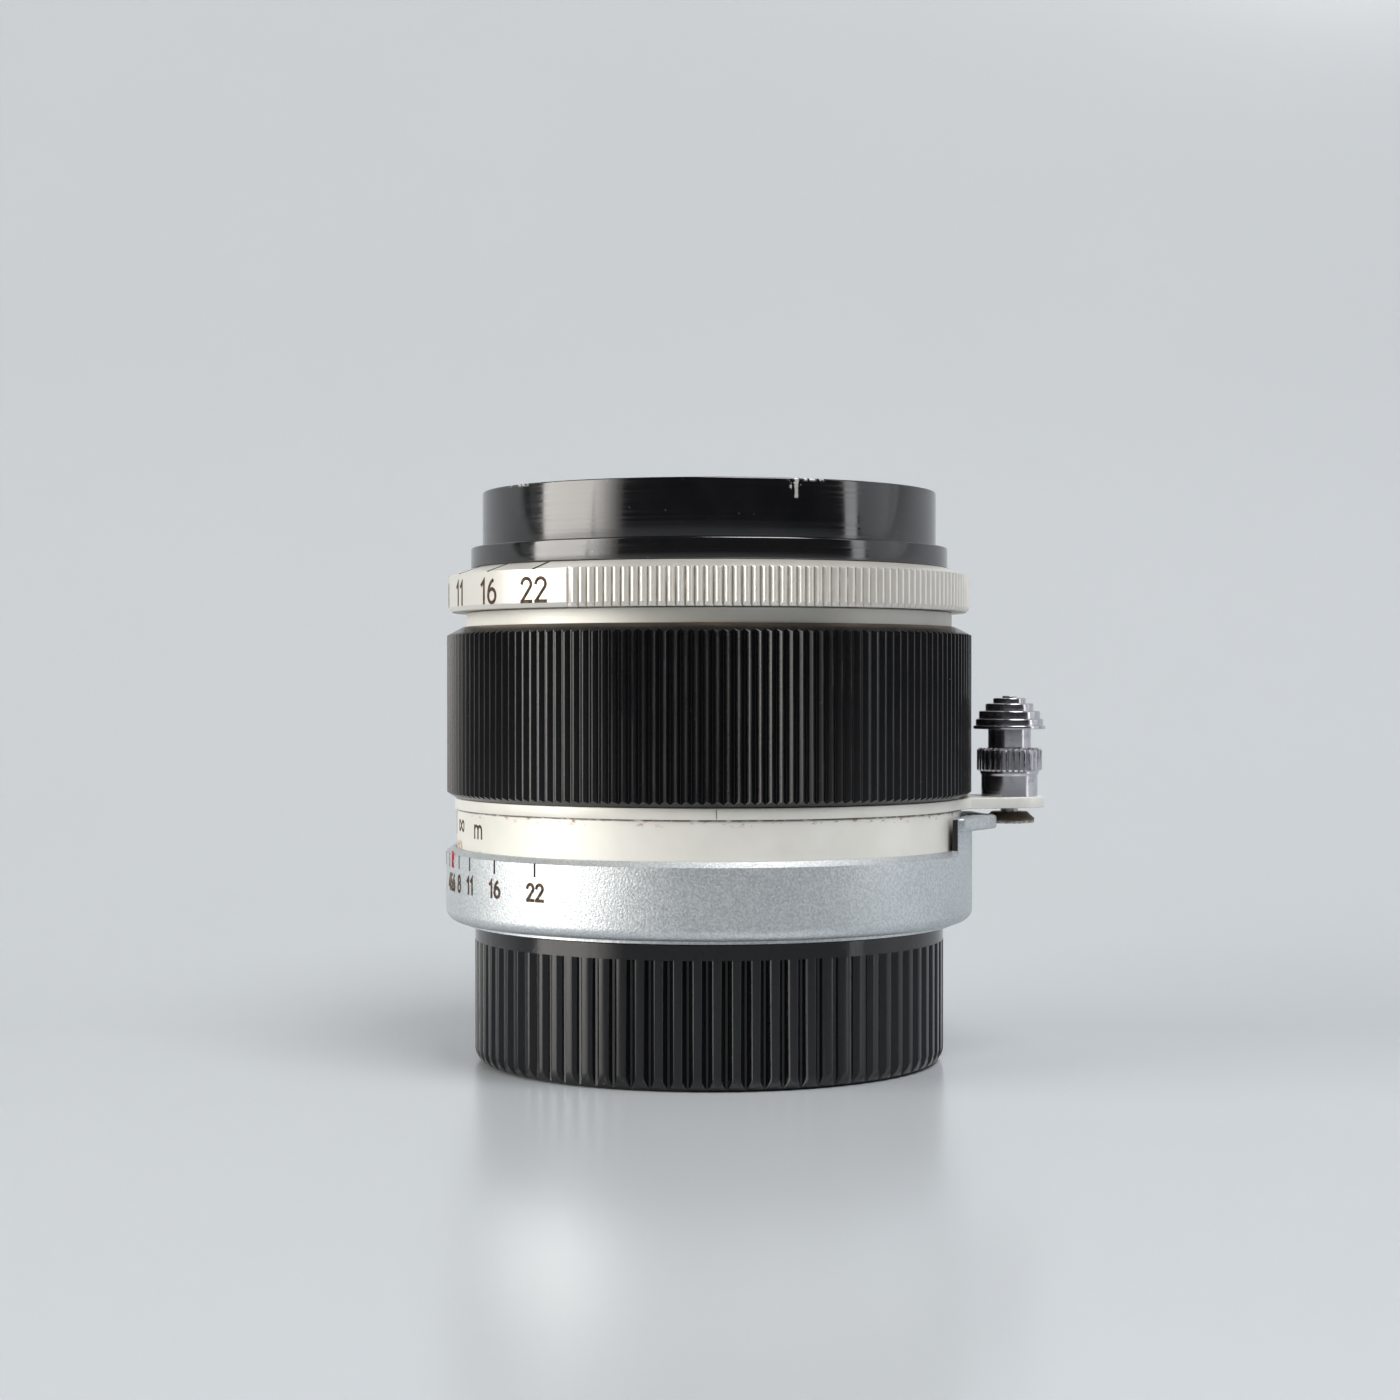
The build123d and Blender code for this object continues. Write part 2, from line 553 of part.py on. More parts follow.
with BuildPart() as iris_drive_ring:
    tube(10.9, DRIVE_TUBE_R, DRIVE_LOW, DRIVE_TOP)
    with BuildSketch(Plane.XY.offset(DRIVE_LOW)):
        with PolarLocations(0, BLADE_COUNT):
            for step in range(SLOT_STEPS):
                start = Vector(*slot_point(step / SLOT_STEPS))
                end = Vector(*slot_point((step + 1) / SLOT_STEPS))
                SlotCenterPoint((start + end) / 2, end, 2 * (PIN_R + SLOT_GAP))
    extrude(amount=DRIVE_TOP - DRIVE_LOW, mode=Mode.SUBTRACT)
    tube(DRIVE_TUBE_BORE, DRIVE_TUBE_R, DRIVE_TOP, 41.2)
    tube(DRIVE_TUBE_BORE, DRIVE_RIM_R, 41.2, 43.0)
    radial_peg(0.6 + FIT, DRIVE_TUBE_BORE - 1, DRIVE_RIM_R + 1)
finish(iris_drive_ring, "iris_drive_ring")

# ---- aperture ring ----
KNURL_COUNT = 188        # for the whole turn; the number panel takes the place of about a third
KNURL_START = -119.0
KNURL_RIBS = 119
KNURL_DEPTH = 0.38
STOP_ANGLES = [-43.8, -29.2, -14.6, 0, 14.6, 29.2, 43.8, 58.4, OPEN_TURN]
CLICK_CEILING = 40.95

with BuildPart() as aperture_ring:
    knurl_pitch = 360 / KNURL_COUNT
    knurl = rib_points(STOP_R, KNURL_DEPTH, knurl_pitch, KNURL_RIBS, 0.3, KNURL_START)
    knurl_end = KNURL_START + KNURL_RIBS * knurl_pitch
    knurl.append(polar(STOP_R - 0.25, knurl_end + 0.3))
    panel_start = polar(STOP_R, knurl_end + 0.4)
    panel_end = polar(STOP_R, KNURL_START + 358.4)
    panel_middle = polar(STOP_R, (knurl_end + KNURL_START + 358.8) / 2)
    with BuildSketch(Plane.XY.offset(STOP_LOW)):
        with BuildLine():
            Polyline(polar(STOP_R - 0.25, KNURL_START + 358.5), *knurl, panel_start)
            ThreePointArc(panel_start, panel_middle, panel_end)
            Line(panel_end, polar(STOP_R - 0.25, KNURL_START + 358.5))
        make_face()
    extrude(amount=STOP_TOP - STOP_LOW)
    turned([(0, STOP_LOW), (STOP_R - 0.3, STOP_LOW), (STOP_R, STOP_LOW + 0.35), (STOP_R, 43.9),
            (RETAINER_R, STOP_TOP), (0, STOP_TOP)], Mode.INTERSECT)
    tube(0, SPIGOT_R + 0.06, STOP_LOW, STOP_TOP, Mode.SUBTRACT)
    tube(0, 21.45, STOP_LOW, CLICK_CEILING, Mode.SUBTRACT)
    drill(0.22, CLICK_CEILING, CLICK_CEILING + 0.15, [polar(CLICK_R, 15 - turn) for turn in STOP_ANGLES])
    radial_peg(0.6 + FIT, SPIGOT_R - 1, STOP_R)
    radial_peg(0.95 + FIT, 22.3, STOP_R + 1)
finish(aperture_ring, "aperture_ring")

with BuildPart() as drive_screw:
    radial_peg(0.6, 15.2, 22.3, Mode.ADD)
    radial_peg(0.95, 22.32, 23.3, Mode.ADD)
    with BuildSketch(radial_screw.offset(23.05)):
        Rectangle(2, 0.25)
    extrude(amount=0.5, mode=Mode.SUBTRACT)
finish(drive_screw, "drive_screw")

# ---- focus ring: helicoid, distance ring, lock plate and grip ----
HELICOID_R = 20.9
HELICOID_NECK = 20.4
GRIP_STEP = 33.5
GRIP_FLANGE_TOP = 34.5
LIP_LOW = 35.0
LIP_TOP = 37.9
GRIP_SCREWS = on_circle(21.57, 3, 110)
CLAMP_SCREWS = on_circle(21.55, 3, 50)
CLAMP_SHANK = 0.5
GRIP_SHANK = 0.4
WEB_SEAT = 21.9

with BuildPart() as focus_helicoid:
    female = thread_wall(HELICOID_CREST + RUNNING, HELICOID_CREST + 0.55, 16.0, 27.5, 1.49, 0.45)
    turned([(HELICOID_NECK, 16.0), (HELICOID_NECK, WEB_SEAT - FIT), (HELICOID_R, WEB_SEAT - FIT),
            (HELICOID_R, GRIP_STEP), (22.2, GRIP_STEP), (22.2, GRIP_FLANGE_TOP),
            (HELICOID_NECK, GRIP_FLANGE_TOP), (HELICOID_NECK, LIP_TOP), (BARREL_R + 0.07, LIP_TOP),
            (BARREL_R + 0.07, LIP_LOW), (19.0, LIP_LOW), (19.0, 27.6)] + female[::-1])
    drill(GRIP_SHANK + FIT, GRIP_STEP, GRIP_FLANGE_TOP, GRIP_SCREWS)
finish(focus_helicoid, "focus_helicoid")

with BuildPart() as distance_ring:
    turned([(22.35, 15.9), (DISTANCE_R, 15.9), (DISTANCE_R, PLATE_LOW), (HELICOID_R + FIT, PLATE_LOW),
            (HELICOID_R + FIT, WEB_SEAT), (22.35, WEB_SEAT)])
    drill(CLAMP_SHANK + FIT, WEB_SEAT, PLATE_LOW, CLAMP_SCREWS)
finish(distance_ring, "distance_ring")

TAB_R = LOCK_REACH - LOCK_X
with BuildPart() as lock_plate:
    with BuildSketch(Plane.XY.offset(PLATE_LOW)):
        Circle(PLATE_R)
        with BuildLine():
            Polyline((20, -7.5), (22.2, -6.7), (23.5, -4.4), (LOCK_X + 0.3, -TAB_R), (LOCK_X + 0.3, TAB_R),
                     (23.5, 4.4), (22.2, 6.7), (20, 7.5), close=True)
        make_face()
        with Locations((LOCK_X, 0)):
            Circle(TAB_R)
        Circle(HELICOID_R + FIT, mode=Mode.SUBTRACT)
    extrude(amount=PLATE_TOP - PLATE_LOW)
    drill(CLAMP_SHANK + FIT, PLATE_LOW, PLATE_TOP, CLAMP_SCREWS)
    drill(1.6 + FIT, PLATE_LOW, PLATE_TOP, [(LOCK_X, 0)])
finish(lock_plate, "lock_plate")

GRIP_RIBS = 167
with BuildPart() as focus_grip:
    ribbed(rib_points(GRIP_R, 0.45, 360 / GRIP_RIBS, GRIP_RIBS, 0.12), PLATE_TOP, GRIP_TOP)
    turned([(0, PLATE_TOP), (23.1, PLATE_TOP), (GRIP_R, PLATE_TOP + 0.54), (GRIP_R, GRIP_TOP - 0.75),
            (22.5, GRIP_TOP), (0, GRIP_TOP)], Mode.INTERSECT)
    tube(0, HELICOID_R + FIT, PLATE_TOP, GRIP_STEP, Mode.SUBTRACT)
    tube(0, 22.25, GRIP_STEP, GRIP_TOP, Mode.SUBTRACT)
    drill(CLAMP_SHANK + FIT, PLATE_TOP, 26.0, CLAMP_SCREWS)
    drill(GRIP_SHANK + FIT, 30.5, GRIP_STEP, GRIP_SCREWS)
finish(focus_grip, "focus_grip")

with BuildPart() as clamp_screws:
    drill(CLAMP_SHANK, WEB_SEAT, 25.8, CLAMP_SCREWS, Mode.ADD)
    drill(0.75, WEB_SEAT - 0.75, WEB_SEAT, CLAMP_SCREWS, Mode.ADD)
    for place in CLAMP_SCREWS:
        with Locations((*place, WEB_SEAT - 0.7)):
            Box(2, 0.25, 0.3, mode=Mode.SUBTRACT)
finish(clamp_screws, "clamp_screws")

with BuildPart() as grip_screws:
    drill(GRIP_SHANK, 30.7, GRIP_FLANGE_TOP, GRIP_SCREWS, Mode.ADD)
    drill(0.6, GRIP_FLANGE_TOP, GRIP_FLANGE_TOP + 0.6, GRIP_SCREWS, Mode.ADD)
    for place in GRIP_SCREWS:
        with Locations((*place, GRIP_FLANGE_TOP + 0.55)):
            Box(2, 0.2, 0.3, mode=Mode.SUBTRACT)
finish(grip_screws, "grip_screws")

# ---- infinity lock: housing on the plate's tab, and the plunger that drops behind the catch ----
COLLAR_TEETH = 34
HOUSING_COLLAR_R = 2.985
HOUSING_TOP = 28.32
HOUSING_FLOOR = 24.5
STEM_R = 1.97
LOCK_PIN_R = 0.8
with BuildPart() as lock_housing:
    ribbed(rib_points(HOUSING_COLLAR_R, 0.26, 360 / COLLAR_TEETH, COLLAR_TEETH, 0.5), 26.22, HOUSING_TOP,
           (LOCK_X, 0))
    turned([(0, 26.22), (HOUSING_COLLAR_R - 0.16, 26.22), (HOUSING_COLLAR_R, 26.38),
            (HOUSING_COLLAR_R, HOUSING_TOP - 0.2), (HOUSING_COLLAR_R - 0.2, HOUSING_TOP),
            (0, HOUSING_TOP)], Mode.INTERSECT, middle=LOCK_X)
    turned([(0, PLATE_LOW + 0.05), (1.6, PLATE_LOW + 0.05), (1.6, PLATE_TOP), (2.58, PLATE_TOP),
            (2.58, 25.9), (2.68, 26.05), (2.68, 26.22), (0, 26.22)], middle=LOCK_X)
    drill(LOCK_PIN_R + RUNNING, PLATE_LOW, HOUSING_FLOOR, [(LOCK_X, 0)])
    drill(STEM_R + RUNNING, HOUSING_FLOOR, HOUSING_TOP, [(LOCK_X, 0)])
finish(lock_housing, "lock_housing")

BUTTON_LOW = 30.06
SPRING_TOP = 29.4
with BuildPart() as lock_button:
    steps = [(3.3, 30.37), (3.08, 31.0), (2.8, 31.72), (2.2, 32.4), (1.5, 32.9), (0.65, 33.08)]
    outline = [(0, 26.4), (STEM_R, 26.4), (STEM_R, BUTTON_LOW)]
    rounds = {}
    floor = BUTTON_LOW
    for radius, top in steps:
        outline.append((radius, floor))
        rounds[len(outline)] = 0.08 if radius in (3.3, 0.65) else 0.16
        outline.append((radius, top))
        floor = top
    outline.append((0, floor))
    turned(outline, rounds=rounds, middle=LOCK_X)
    drill(1.5, 26.4, SPRING_TOP, [(LOCK_X, 0)])
    drill(LOCK_PIN_R + FIT, SPRING_TOP, 31.5, [(LOCK_X, 0)])
finish(lock_button, "lock_button")

DISC_LOW = 21.48
with BuildPart() as lock_pin:
    drill(LOCK_PIN_R, DISC_LOW, 31.4, [(LOCK_X, 0)], Mode.ADD)
finish(lock_pin, "lock_pin")

with BuildPart() as lock_disc:
    turned([(LOCK_PIN_R + FIT, DISC_LOW), (2.2, DISC_LOW), (2.27, DISC_LOW + 0.07), (2.27, 21.9),
            (1.64, 22.5), (LOCK_PIN_R + FIT, 22.5)], middle=LOCK_X)
finish(lock_disc, "lock_disc")

SPRING_WIRE = 0.12
SPRING_R = 1.15
SPRING_TURNS = 7
with BuildPart() as lock_spring:
    spring_low = HOUSING_FLOOR + SPRING_WIRE + 0.02
    spring_height = SPRING_TOP - SPRING_WIRE - 0.02 - spring_low
    with BuildLine() as spring_coil:
        Helix(spring_height / SPRING_TURNS, spring_height, SPRING_R, center=(LOCK_X, 0, spring_low))
    with BuildSketch(Plane(origin=spring_coil.line @ 0, z_dir=spring_coil.line % 0)):
        Circle(SPRING_WIRE)
    sweep(path=spring_coil.line)
finish(lock_spring, "lock_spring")
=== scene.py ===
from math import atan2, cos, degrees, pi, radians, sin, tan

import bmesh
import bpy
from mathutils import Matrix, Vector


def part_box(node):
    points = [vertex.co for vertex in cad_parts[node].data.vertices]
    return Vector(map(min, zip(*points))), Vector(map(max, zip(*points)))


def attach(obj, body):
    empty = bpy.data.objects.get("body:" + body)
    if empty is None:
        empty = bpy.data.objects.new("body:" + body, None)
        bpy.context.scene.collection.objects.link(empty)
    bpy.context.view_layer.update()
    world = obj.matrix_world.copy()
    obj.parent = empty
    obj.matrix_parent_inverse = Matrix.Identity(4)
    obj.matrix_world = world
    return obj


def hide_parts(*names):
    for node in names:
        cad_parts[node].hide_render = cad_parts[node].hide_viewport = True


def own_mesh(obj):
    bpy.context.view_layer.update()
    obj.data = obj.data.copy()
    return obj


# The looks of a 50 mm focusing lens standing on its rear cap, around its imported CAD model.
# Lengths are in millimetres and become metres where a mesh is made. "turn" angles go from +X towards
# +Y, as in the frame. "face" angles go from the camera's side, -Y, towards +X, as a scale is read.

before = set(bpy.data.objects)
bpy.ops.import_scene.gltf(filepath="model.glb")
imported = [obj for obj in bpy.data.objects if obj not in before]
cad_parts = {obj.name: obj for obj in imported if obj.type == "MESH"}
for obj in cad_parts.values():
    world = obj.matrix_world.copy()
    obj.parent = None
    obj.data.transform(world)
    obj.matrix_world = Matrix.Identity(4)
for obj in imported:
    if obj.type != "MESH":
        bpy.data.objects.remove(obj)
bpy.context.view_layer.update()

MM = 0.001
SEGMENTS = 256


# ---- sizes from the frame ----
def ring_size(node):
    """Outer radius, bottom and top of a CAD node that is round about the axis."""
    low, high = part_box(node)
    return (high.y - low.y) / 2 / MM, low.z / MM, high.z / MM


RIM_R, RIM_LOW, RIM_TOP = ring_size("filter_ring")
RETAINER_R, RETAINER_LOW, RETAINER_TOP = ring_size("aperture_retainer")
STOP_R, STOP_LOW, STOP_TOP = ring_size("aperture_ring")
COLLAR_R, COLLAR_LOW, COLLAR_TOP = ring_size("front_collar")
GRIP_R, GRIP_LOW, GRIP_TOP = ring_size("focus_grip")
PLATE_R, PLATE_LOW, PLATE_TOP = ring_size("lock_plate")
DISTANCE_R, DISTANCE_LOW, DISTANCE_TOP = ring_size("distance_ring")
BODY_R, SCALE_LOW, LUG_TOP = ring_size("depth_scale_ring")
CAP_R, CAP_LOW, CAP_TOP = ring_size("rear_cap")
HOUSING_R, HOUSING_LOW, HOUSING_TOP = ring_size("lock_housing")
BUTTON_R, BUTTON_FOOT, BUTTON_TOP = ring_size("lock_button")
DISC_R, DISC_LOW, DISC_TOP = ring_size("lock_disc")
LOCK_X = (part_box("lock_button")[0].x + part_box("lock_button")[1].x) / 2 / MM
TAB_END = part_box("lock_plate")[1].x / MM

SPIGOT_R = 20.32         # bore of the rings round the lens head's spigot
SCALE_TOP = 19.46        # top of the depth scale ring away from its lug
GRIP_BORE = 22.25
HELICOID_R = 20.92
HOUSING_FLOOR = 24.5     # the return spring stands between this and the hollow button's ceiling
BUTTON_CEILING = 29.4
INDEX = -83.0            # face angle of the focusing index
STOP_SPACING = 14.6      # turn between two full stops
STOP_22 = -38.9          # face angle of the 22 at rest


# ---- mesh tools ----
def rounded(outline, steps=4):
    """A closed outline's points. A corner with a third number is rounded by that radius."""
    points = []
    for place, (across, up, *fillet) in enumerate(outline):
        corner = Vector((across, up))
        if not fillet:
            points.append(corner)
            continue
        back = (Vector(outline[place - 1][:2]) - corner).normalized()
        ahead = (Vector(outline[(place + 1) % len(outline)][:2]) - corner).normalized()
        half = back.angle(ahead) / 2
        centre = corner + (back + ahead).normalized() * fillet[0] / sin(half)
        start = corner + back * fillet[0] / tan(half)
        end = corner + ahead * fillet[0] / tan(half)
        for step in range(steps + 1):
            arm = (start.lerp(end, step / steps) - centre).normalized()
            points.append(centre + arm * fillet[0])
    return points


def thread(crest, root, low, high, pitch):
    """Points up a threaded wall, one V groove a pitch."""
    points = []
    for groove in range(int((high - low) / pitch)):
        start = low + groove * pitch
        points += [(crest, start + 0.15 * pitch), (crest, start + 0.3 * pitch)]
        points += [(root, start + 0.65 * pitch), (crest, start + pitch)]
    return points


def add_object(name, data):
    made = bpy.data.objects.new(name, data)
    bpy.context.scene.collection.objects.link(made)
    return made


def join(mesh, rings):
    """Faces between each closed ring of vertices and the next."""
    for ring, following in zip(rings, rings[1:]):
        for corner in range(len(ring)):
            ahead = (corner + 1) % len(ring)
            mesh.faces.new((ring[corner], ring[ahead], following[ahead], following[corner]))


def join_tube(mesh, rings):
    """The same, closed with a flat face at each end."""
    join(mesh, rings)
    mesh.faces.new(rings[0])
    mesh.faces.new(rings[-1][::-1])


def closed_object(name, mesh, body, material, smooth=32):
    """Turn a bmesh in millimetres into a piece that rides on a body."""
    bmesh.ops.remove_doubles(mesh, verts=mesh.verts, dist=1e-4)
    bmesh.ops.recalc_face_normals(mesh, faces=mesh.faces)
    bmesh.ops.scale(mesh, vec=(MM, MM, MM), verts=mesh.verts)
    data = bpy.data.meshes.new(name)
    mesh.to_mesh(data)
    mesh.free()
    data.shade_smooth()
    data.set_sharp_from_angle(angle=radians(smooth))
    data.materials.append(material)
    piece = add_object(name, data)
    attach(piece, body)
    return piece


def plain_columns(count=SEGMENTS):
    return [(step * 360 / count, None) for step in range(count)]


def rib_columns(radius, depth, count, shape, start=0.0, ribs=None):
    """Turn angle and radius of each column round a ribbed wall.

    shape has points (place in the pitch, share of the depth).
    """
    pitch = 360 / count
    return [(start + (rib + place) * pitch, radius - depth * share)
            for rib in range(ribs or count) for place, share in shape]


def turned(name, outline_at, body, material, columns=None, middle=0.0, smooth=32):
    """A ring turned about the upright axis at x = middle.

    outline_at is an outline, or a function that gives a column's outline from its radius.
    """
    mesh = bmesh.new()
    rings = []
    for angle, radius in columns or plain_columns():
        around = Vector((cos(radians(angle)), sin(radians(angle)), 0))
        outline = outline_at(radius) if callable(outline_at) else outline_at
        rings.append([mesh.verts.new(Vector((middle, 0, up)) + around * across) for across, up in outline])
    join(mesh, rings + rings[:1])
    return closed_object(name, mesh, body, material, smooth)


def plate(name, loops, low, high, edge, body, material):
    """A flat plate with rounded edges. The loops are closed lists of (x, y) points, holes included."""
    curve = bpy.data.curves.new(name, "CURVE")
    curve.dimensions = "2D"
    curve.fill_mode = "BOTH"
    curve.extrude = (high - low) / 2 - edge
    curve.bevel_depth = edge
    curve.bevel_resolution = 2
    curve.offset = -edge
    for loop in loops:
        spline = curve.splines.new("POLY")
        spline.points.add(len(loop) - 1)
        for point, (x, y) in zip(spline.points, loop):
            point.co = (x, y, 0, 1)
        spline.use_cyclic_u = True
    drawn = add_object(name, curve)
    bpy.context.view_layer.update()
    made = bpy.data.meshes.new_from_object(drawn.evaluated_get(bpy.context.evaluated_depsgraph_get()))
    bpy.data.objects.remove(drawn)
    mesh = bmesh.new()
    mesh.from_mesh(made)
    bmesh.ops.translate(mesh, vec=(0, 0, (low + high) / 2), verts=mesh.verts)
    return closed_object(name, mesh, body, material)


def polar(radius, angle, middle=0.0):
    return (middle + radius * cos(radians(angle)), radius * sin(radians(angle)))


def arc(radius, start, end, steps, middle=0.0):
    return [polar(radius, start + (end - start) * step / steps, middle) for step in range(steps + 1)]


# ---- engraved scales ----
def bow(x, y, wide, high, start, end, steps=14):
    """Points along part of an oval, from one angle to another."""
    turns = [radians(start + (end - start) * step / steps) for step in range(steps + 1)]
    return [(x + wide * cos(turn), y + high * sin(turn)) for turn in turns]


def endless():
    """The infinity sign, one loop left and one right."""
    turns = [2 * pi * step / 32 for step in range(33)]
    return [(0.66 + 0.62 * sin(turn), 0.38 + 0.52 * sin(turn) * cos(turn)) for turn in turns]


# Each sign is strokes in a box one high. Its width comes first.
SIGNS = {
    "0": (0.5, [bow(0.25, 0.5, 0.25, 0.5, 90, 450, 24)]),
    "1": (0.3, [[(0.02, 0.8), (0.2, 1.0), (0.2, 0.0)]]),
    "2": (0.5, [bow(0.25, 0.74, 0.23, 0.26, 170, -30) + [(0.02, 0.0)], [(0.0, 0.0), (0.5, 0.0)]]),
    "3": (0.5, [bow(0.24, 0.76, 0.21, 0.24, 150, -90), bow(0.24, 0.27, 0.25, 0.27, 90, -150)]),
    "4": (0.54, [[(0.4, 0.0), (0.4, 1.0)], [(0.4, 1.0), (0.0, 0.27), (0.54, 0.27)]]),
    "5": (0.5, [[(0.46, 1.0), (0.09, 1.0), (0.04, 0.52)] + bow(0.24, 0.32, 0.25, 0.32, 140, -150)]),
    "6": (0.5, [bow(0.25, 0.3, 0.24, 0.3, 90, 450, 20), bow(0.42, 0.32, 0.41, 0.68, 180, 105)]),
    "7": (0.5, [[(0.0, 1.0), (0.5, 1.0), (0.18, 0.0)]]),
    "8": (0.5, [bow(0.25, 0.76, 0.19, 0.24, 90, 450, 20), bow(0.25, 0.27, 0.24, 0.27, 90, 450, 20)]),
    ".": (0.08, [[(0.04, 0.0), (0.04, 0.03)]]),
    "m": (0.95, [[(0.0, 0.0), (0.0, 0.66)], bow(0.23, 0.42, 0.23, 0.23, 180, 0) + [(0.46, 0.0)],
                 bow(0.69, 0.42, 0.23, 0.23, 180, 0) + [(0.92, 0.0)]]),
    "R": (0.5, [[(0.0, 0.0), (0.0, 1.0), (0.25, 1.0)] + bow(0.25, 0.75, 0.24, 0.25, 90, -90) + [(0.0, 0.5)],
                [(0.25, 0.5), (0.5, 0.0)]]),
    "~": (1.32, [endless()]),
}
SIGN_GAP = 0.2


def on_cylinder(radius, face, height):
    """Where a mark's own (right, up, lift) lies on a round wall, centred on a face angle."""
    def place(right, up, lift):
        around = radians(face) + right / radius
        return Vector(((radius + lift) * sin(around), -(radius + lift) * cos(around), height + up))
    return place


def on_cone(outer, low, inner, high, face):
    """The same on a cone that rises from (outer, low) to (inner, high)."""
    slope = Vector((inner - outer, high - low)).normalized()

    def place(right, up, lift):
        around = radians(face) + right / outer
        radius = outer + slope.x * up + slope.y * lift
        return Vector((radius * sin(around), -radius * cos(around), low + slope.y * up - slope.x * lift))
    return place


def ribbon(mesh, points, width, place, rise=0.02, root=-0.04):
    """A closed thin strip of paint along a stroke, from root below the surface to rise above it."""
    overrun = width * 0.4
    points = [Vector(point) for point in points]
    points[0] = points[0] - (points[1] - points[0]).normalized() * overrun
    points[-1] = points[-1] + (points[-1] - points[-2]).normalized() * overrun
    sections = []
    for step, point in enumerate(points):
        back = (point - points[step - 1]).normalized() if step else None
        ahead = (points[step + 1] - point).normalized() if step < len(points) - 1 else None
        along = ((back or ahead) + (ahead or back)).normalized()
        stretch = 1 / max(0.45, along.dot(ahead or back))
        across = Vector((-along.y, along.x)) * width / 2 * stretch
        left, right = point + across, point - across
        corners = [(left, rise), (right, rise), (right, root), (left, root)]
        sections.append([mesh.verts.new(place(corner.x, corner.y, lift)) for corner, lift in corners])
    join_tube(mesh, sections)


def write(mesh, text, tall, width, place, broad=1.0):
    """Draw text with its middle at the place's own origin. broad widens the signs, not their strokes."""
    spans = [SIGNS[sign][0] * broad for sign in text]
    gap = SIGN_GAP * broad
    start = -(sum(spans) + gap * (len(text) - 1)) / 2
    for sign, span in zip(text, spans):
        for stroke in SIGNS[sign][1]:
            points = [((start + x * broad) * tall, (y - 0.5) * tall) for x, y in stroke]
            ribbon(mesh, points, width, place)
        start += span + gap


# ---- materials ----
class Finish:
    """A node material whose shader's sockets are set or linked as it is built."""

    def __init__(self, name, **sockets):
        self.material = bpy.data.materials.new(name)
        self.material.use_nodes = True
        self.tree = self.material.node_tree
        self.shader = self.tree.nodes["Principled BSDF"]
        self.set(**sockets)

    def set(self, **sockets):
        for socket, value in sockets.items():
            self.feed(self.shader.inputs[socket.replace("_", " ")], value)

    def feed(self, socket, value):
        if isinstance(value, bpy.types.NodeSocket):
            self.tree.links.new(value, socket)
        elif isinstance(value, tuple) and len(value) == 3 and socket.type == "RGBA":
            socket.default_value = (*value, 1)
        else:
            socket.default_value = value

    def node(self, kind, output=0, settings=None, **sockets):
        made = self.tree.nodes.new("ShaderNode" + kind)
        for setting, value in (settings or {}).items():
            setattr(made, setting, value)
        for socket, value in sockets.items():
            place = int(socket[1:]) if socket[1:].isdigit() else socket.replace("_", " ")
            self.feed(made.inputs[place], value)
        return made.outputs[output]

    def math(self, operation, first, second=0.0, third=0.0):
        return self.node("Math", settings={"operation": operation}, i0=first, i1=second, i2=third)

    def position(self):
        """Where a point is on the object at rest, in millimetres."""
        place = self.tree.nodes.new("ShaderNodeTexCoord").outputs["Object"]
        return self.node("VectorMath", settings={"operation": "MULTIPLY"}, i0=place, i1=(1 / MM,) * 3)

    def survey(self, middle=0.0):
        """Find arc length, height and radius about the upright axis at x = middle, in millimetres."""
        split = self.tree.nodes.new("ShaderNodeSeparateXYZ")
        self.tree.links.new(self.position(), split.inputs[0])
        x = self.math("SUBTRACT", split.outputs[0], middle)
        y, self.height = split.outputs[1], split.outputs[2]
        self.radius = self.math("SQRT", self.math("MULTIPLY_ADD", x, x, self.math("MULTIPLY", y, y)))
        self.arc = self.math("MULTIPLY", self.math("ARCTAN2", y, x), self.radius)
        self.around = self.node("CombineXYZ", i0=self.arc, i1=self.height, i2=self.radius)

    def near_face(self, face, radius, spread, wobble=0.0):
        """1 within spread millimetres of a face angle on a wall of that radius, 0 beyond."""
        place = self.math("ADD", self.math("SUBTRACT", self.arc, radians(face - 90) * radius), wobble)
        return self.ramp(self.math("ABSOLUTE", place), spread, spread * 0.75)

    def times(self, *shares):
        product = shares[0]
        for share in shares[1:]:
            product = self.math("MULTIPLY", product, share)
        return product

    def most(self, *shares):
        largest = shares[0]
        for share in shares[1:]:
            largest = self.math("MAXIMUM", largest, share)
        return largest

    def noise(self, vector, scale, detail=2.0, rough=0.5, stretch=(1.0, 1.0, 1.0), seed=0.0):
        mapped = self.node("Mapping", Vector=vector, Scale=stretch, Location=(seed, seed * 0.7, -seed))
        return self.node("TexNoise", Vector=mapped, Scale=scale, Detail=detail, Roughness=rough)

    def ramp(self, value, low, high, bottom=0.0, top=1.0):
        """Smooth change from bottom to top as value goes from low to high."""
        return self.node("MapRange", settings={"interpolation_type": "SMOOTHSTEP"}, Value=value,
                         From_Min=low, From_Max=high, To_Min=bottom, To_Max=top)

    def mix(self, factor, first, second):
        made = self.tree.nodes.new("ShaderNodeMix")
        made.data_type = "RGBA"
        self.feed(made.inputs[0], factor)
        self.feed(made.inputs[6], first)
        self.feed(made.inputs[7], second)
        return made.outputs[2]

    def bump(self, height, distance, strength=1.0):
        return self.node("Bump", Height=height, Distance=distance * MM, Strength=strength)

    def specks(self, vector, scale, size, seed=0.0):
        """Sparse small spots: dust, pores or nicks."""
        mapped = self.node("Mapping", Vector=vector, Location=(seed, seed * 1.3, seed * 0.4))
        cells = self.tree.nodes.new("ShaderNodeTexVoronoi")
        self.feed(cells.inputs["Vector"], mapped)
        self.feed(cells.inputs["Scale"], scale)
        chosen = self.node("SeparateColor", 0, i0=cells.outputs["Color"])
        near = self.ramp(cells.outputs["Distance"], size, size * 0.6)
        return self.math("MULTIPLY", near, self.ramp(chosen, 0.86, 0.88))


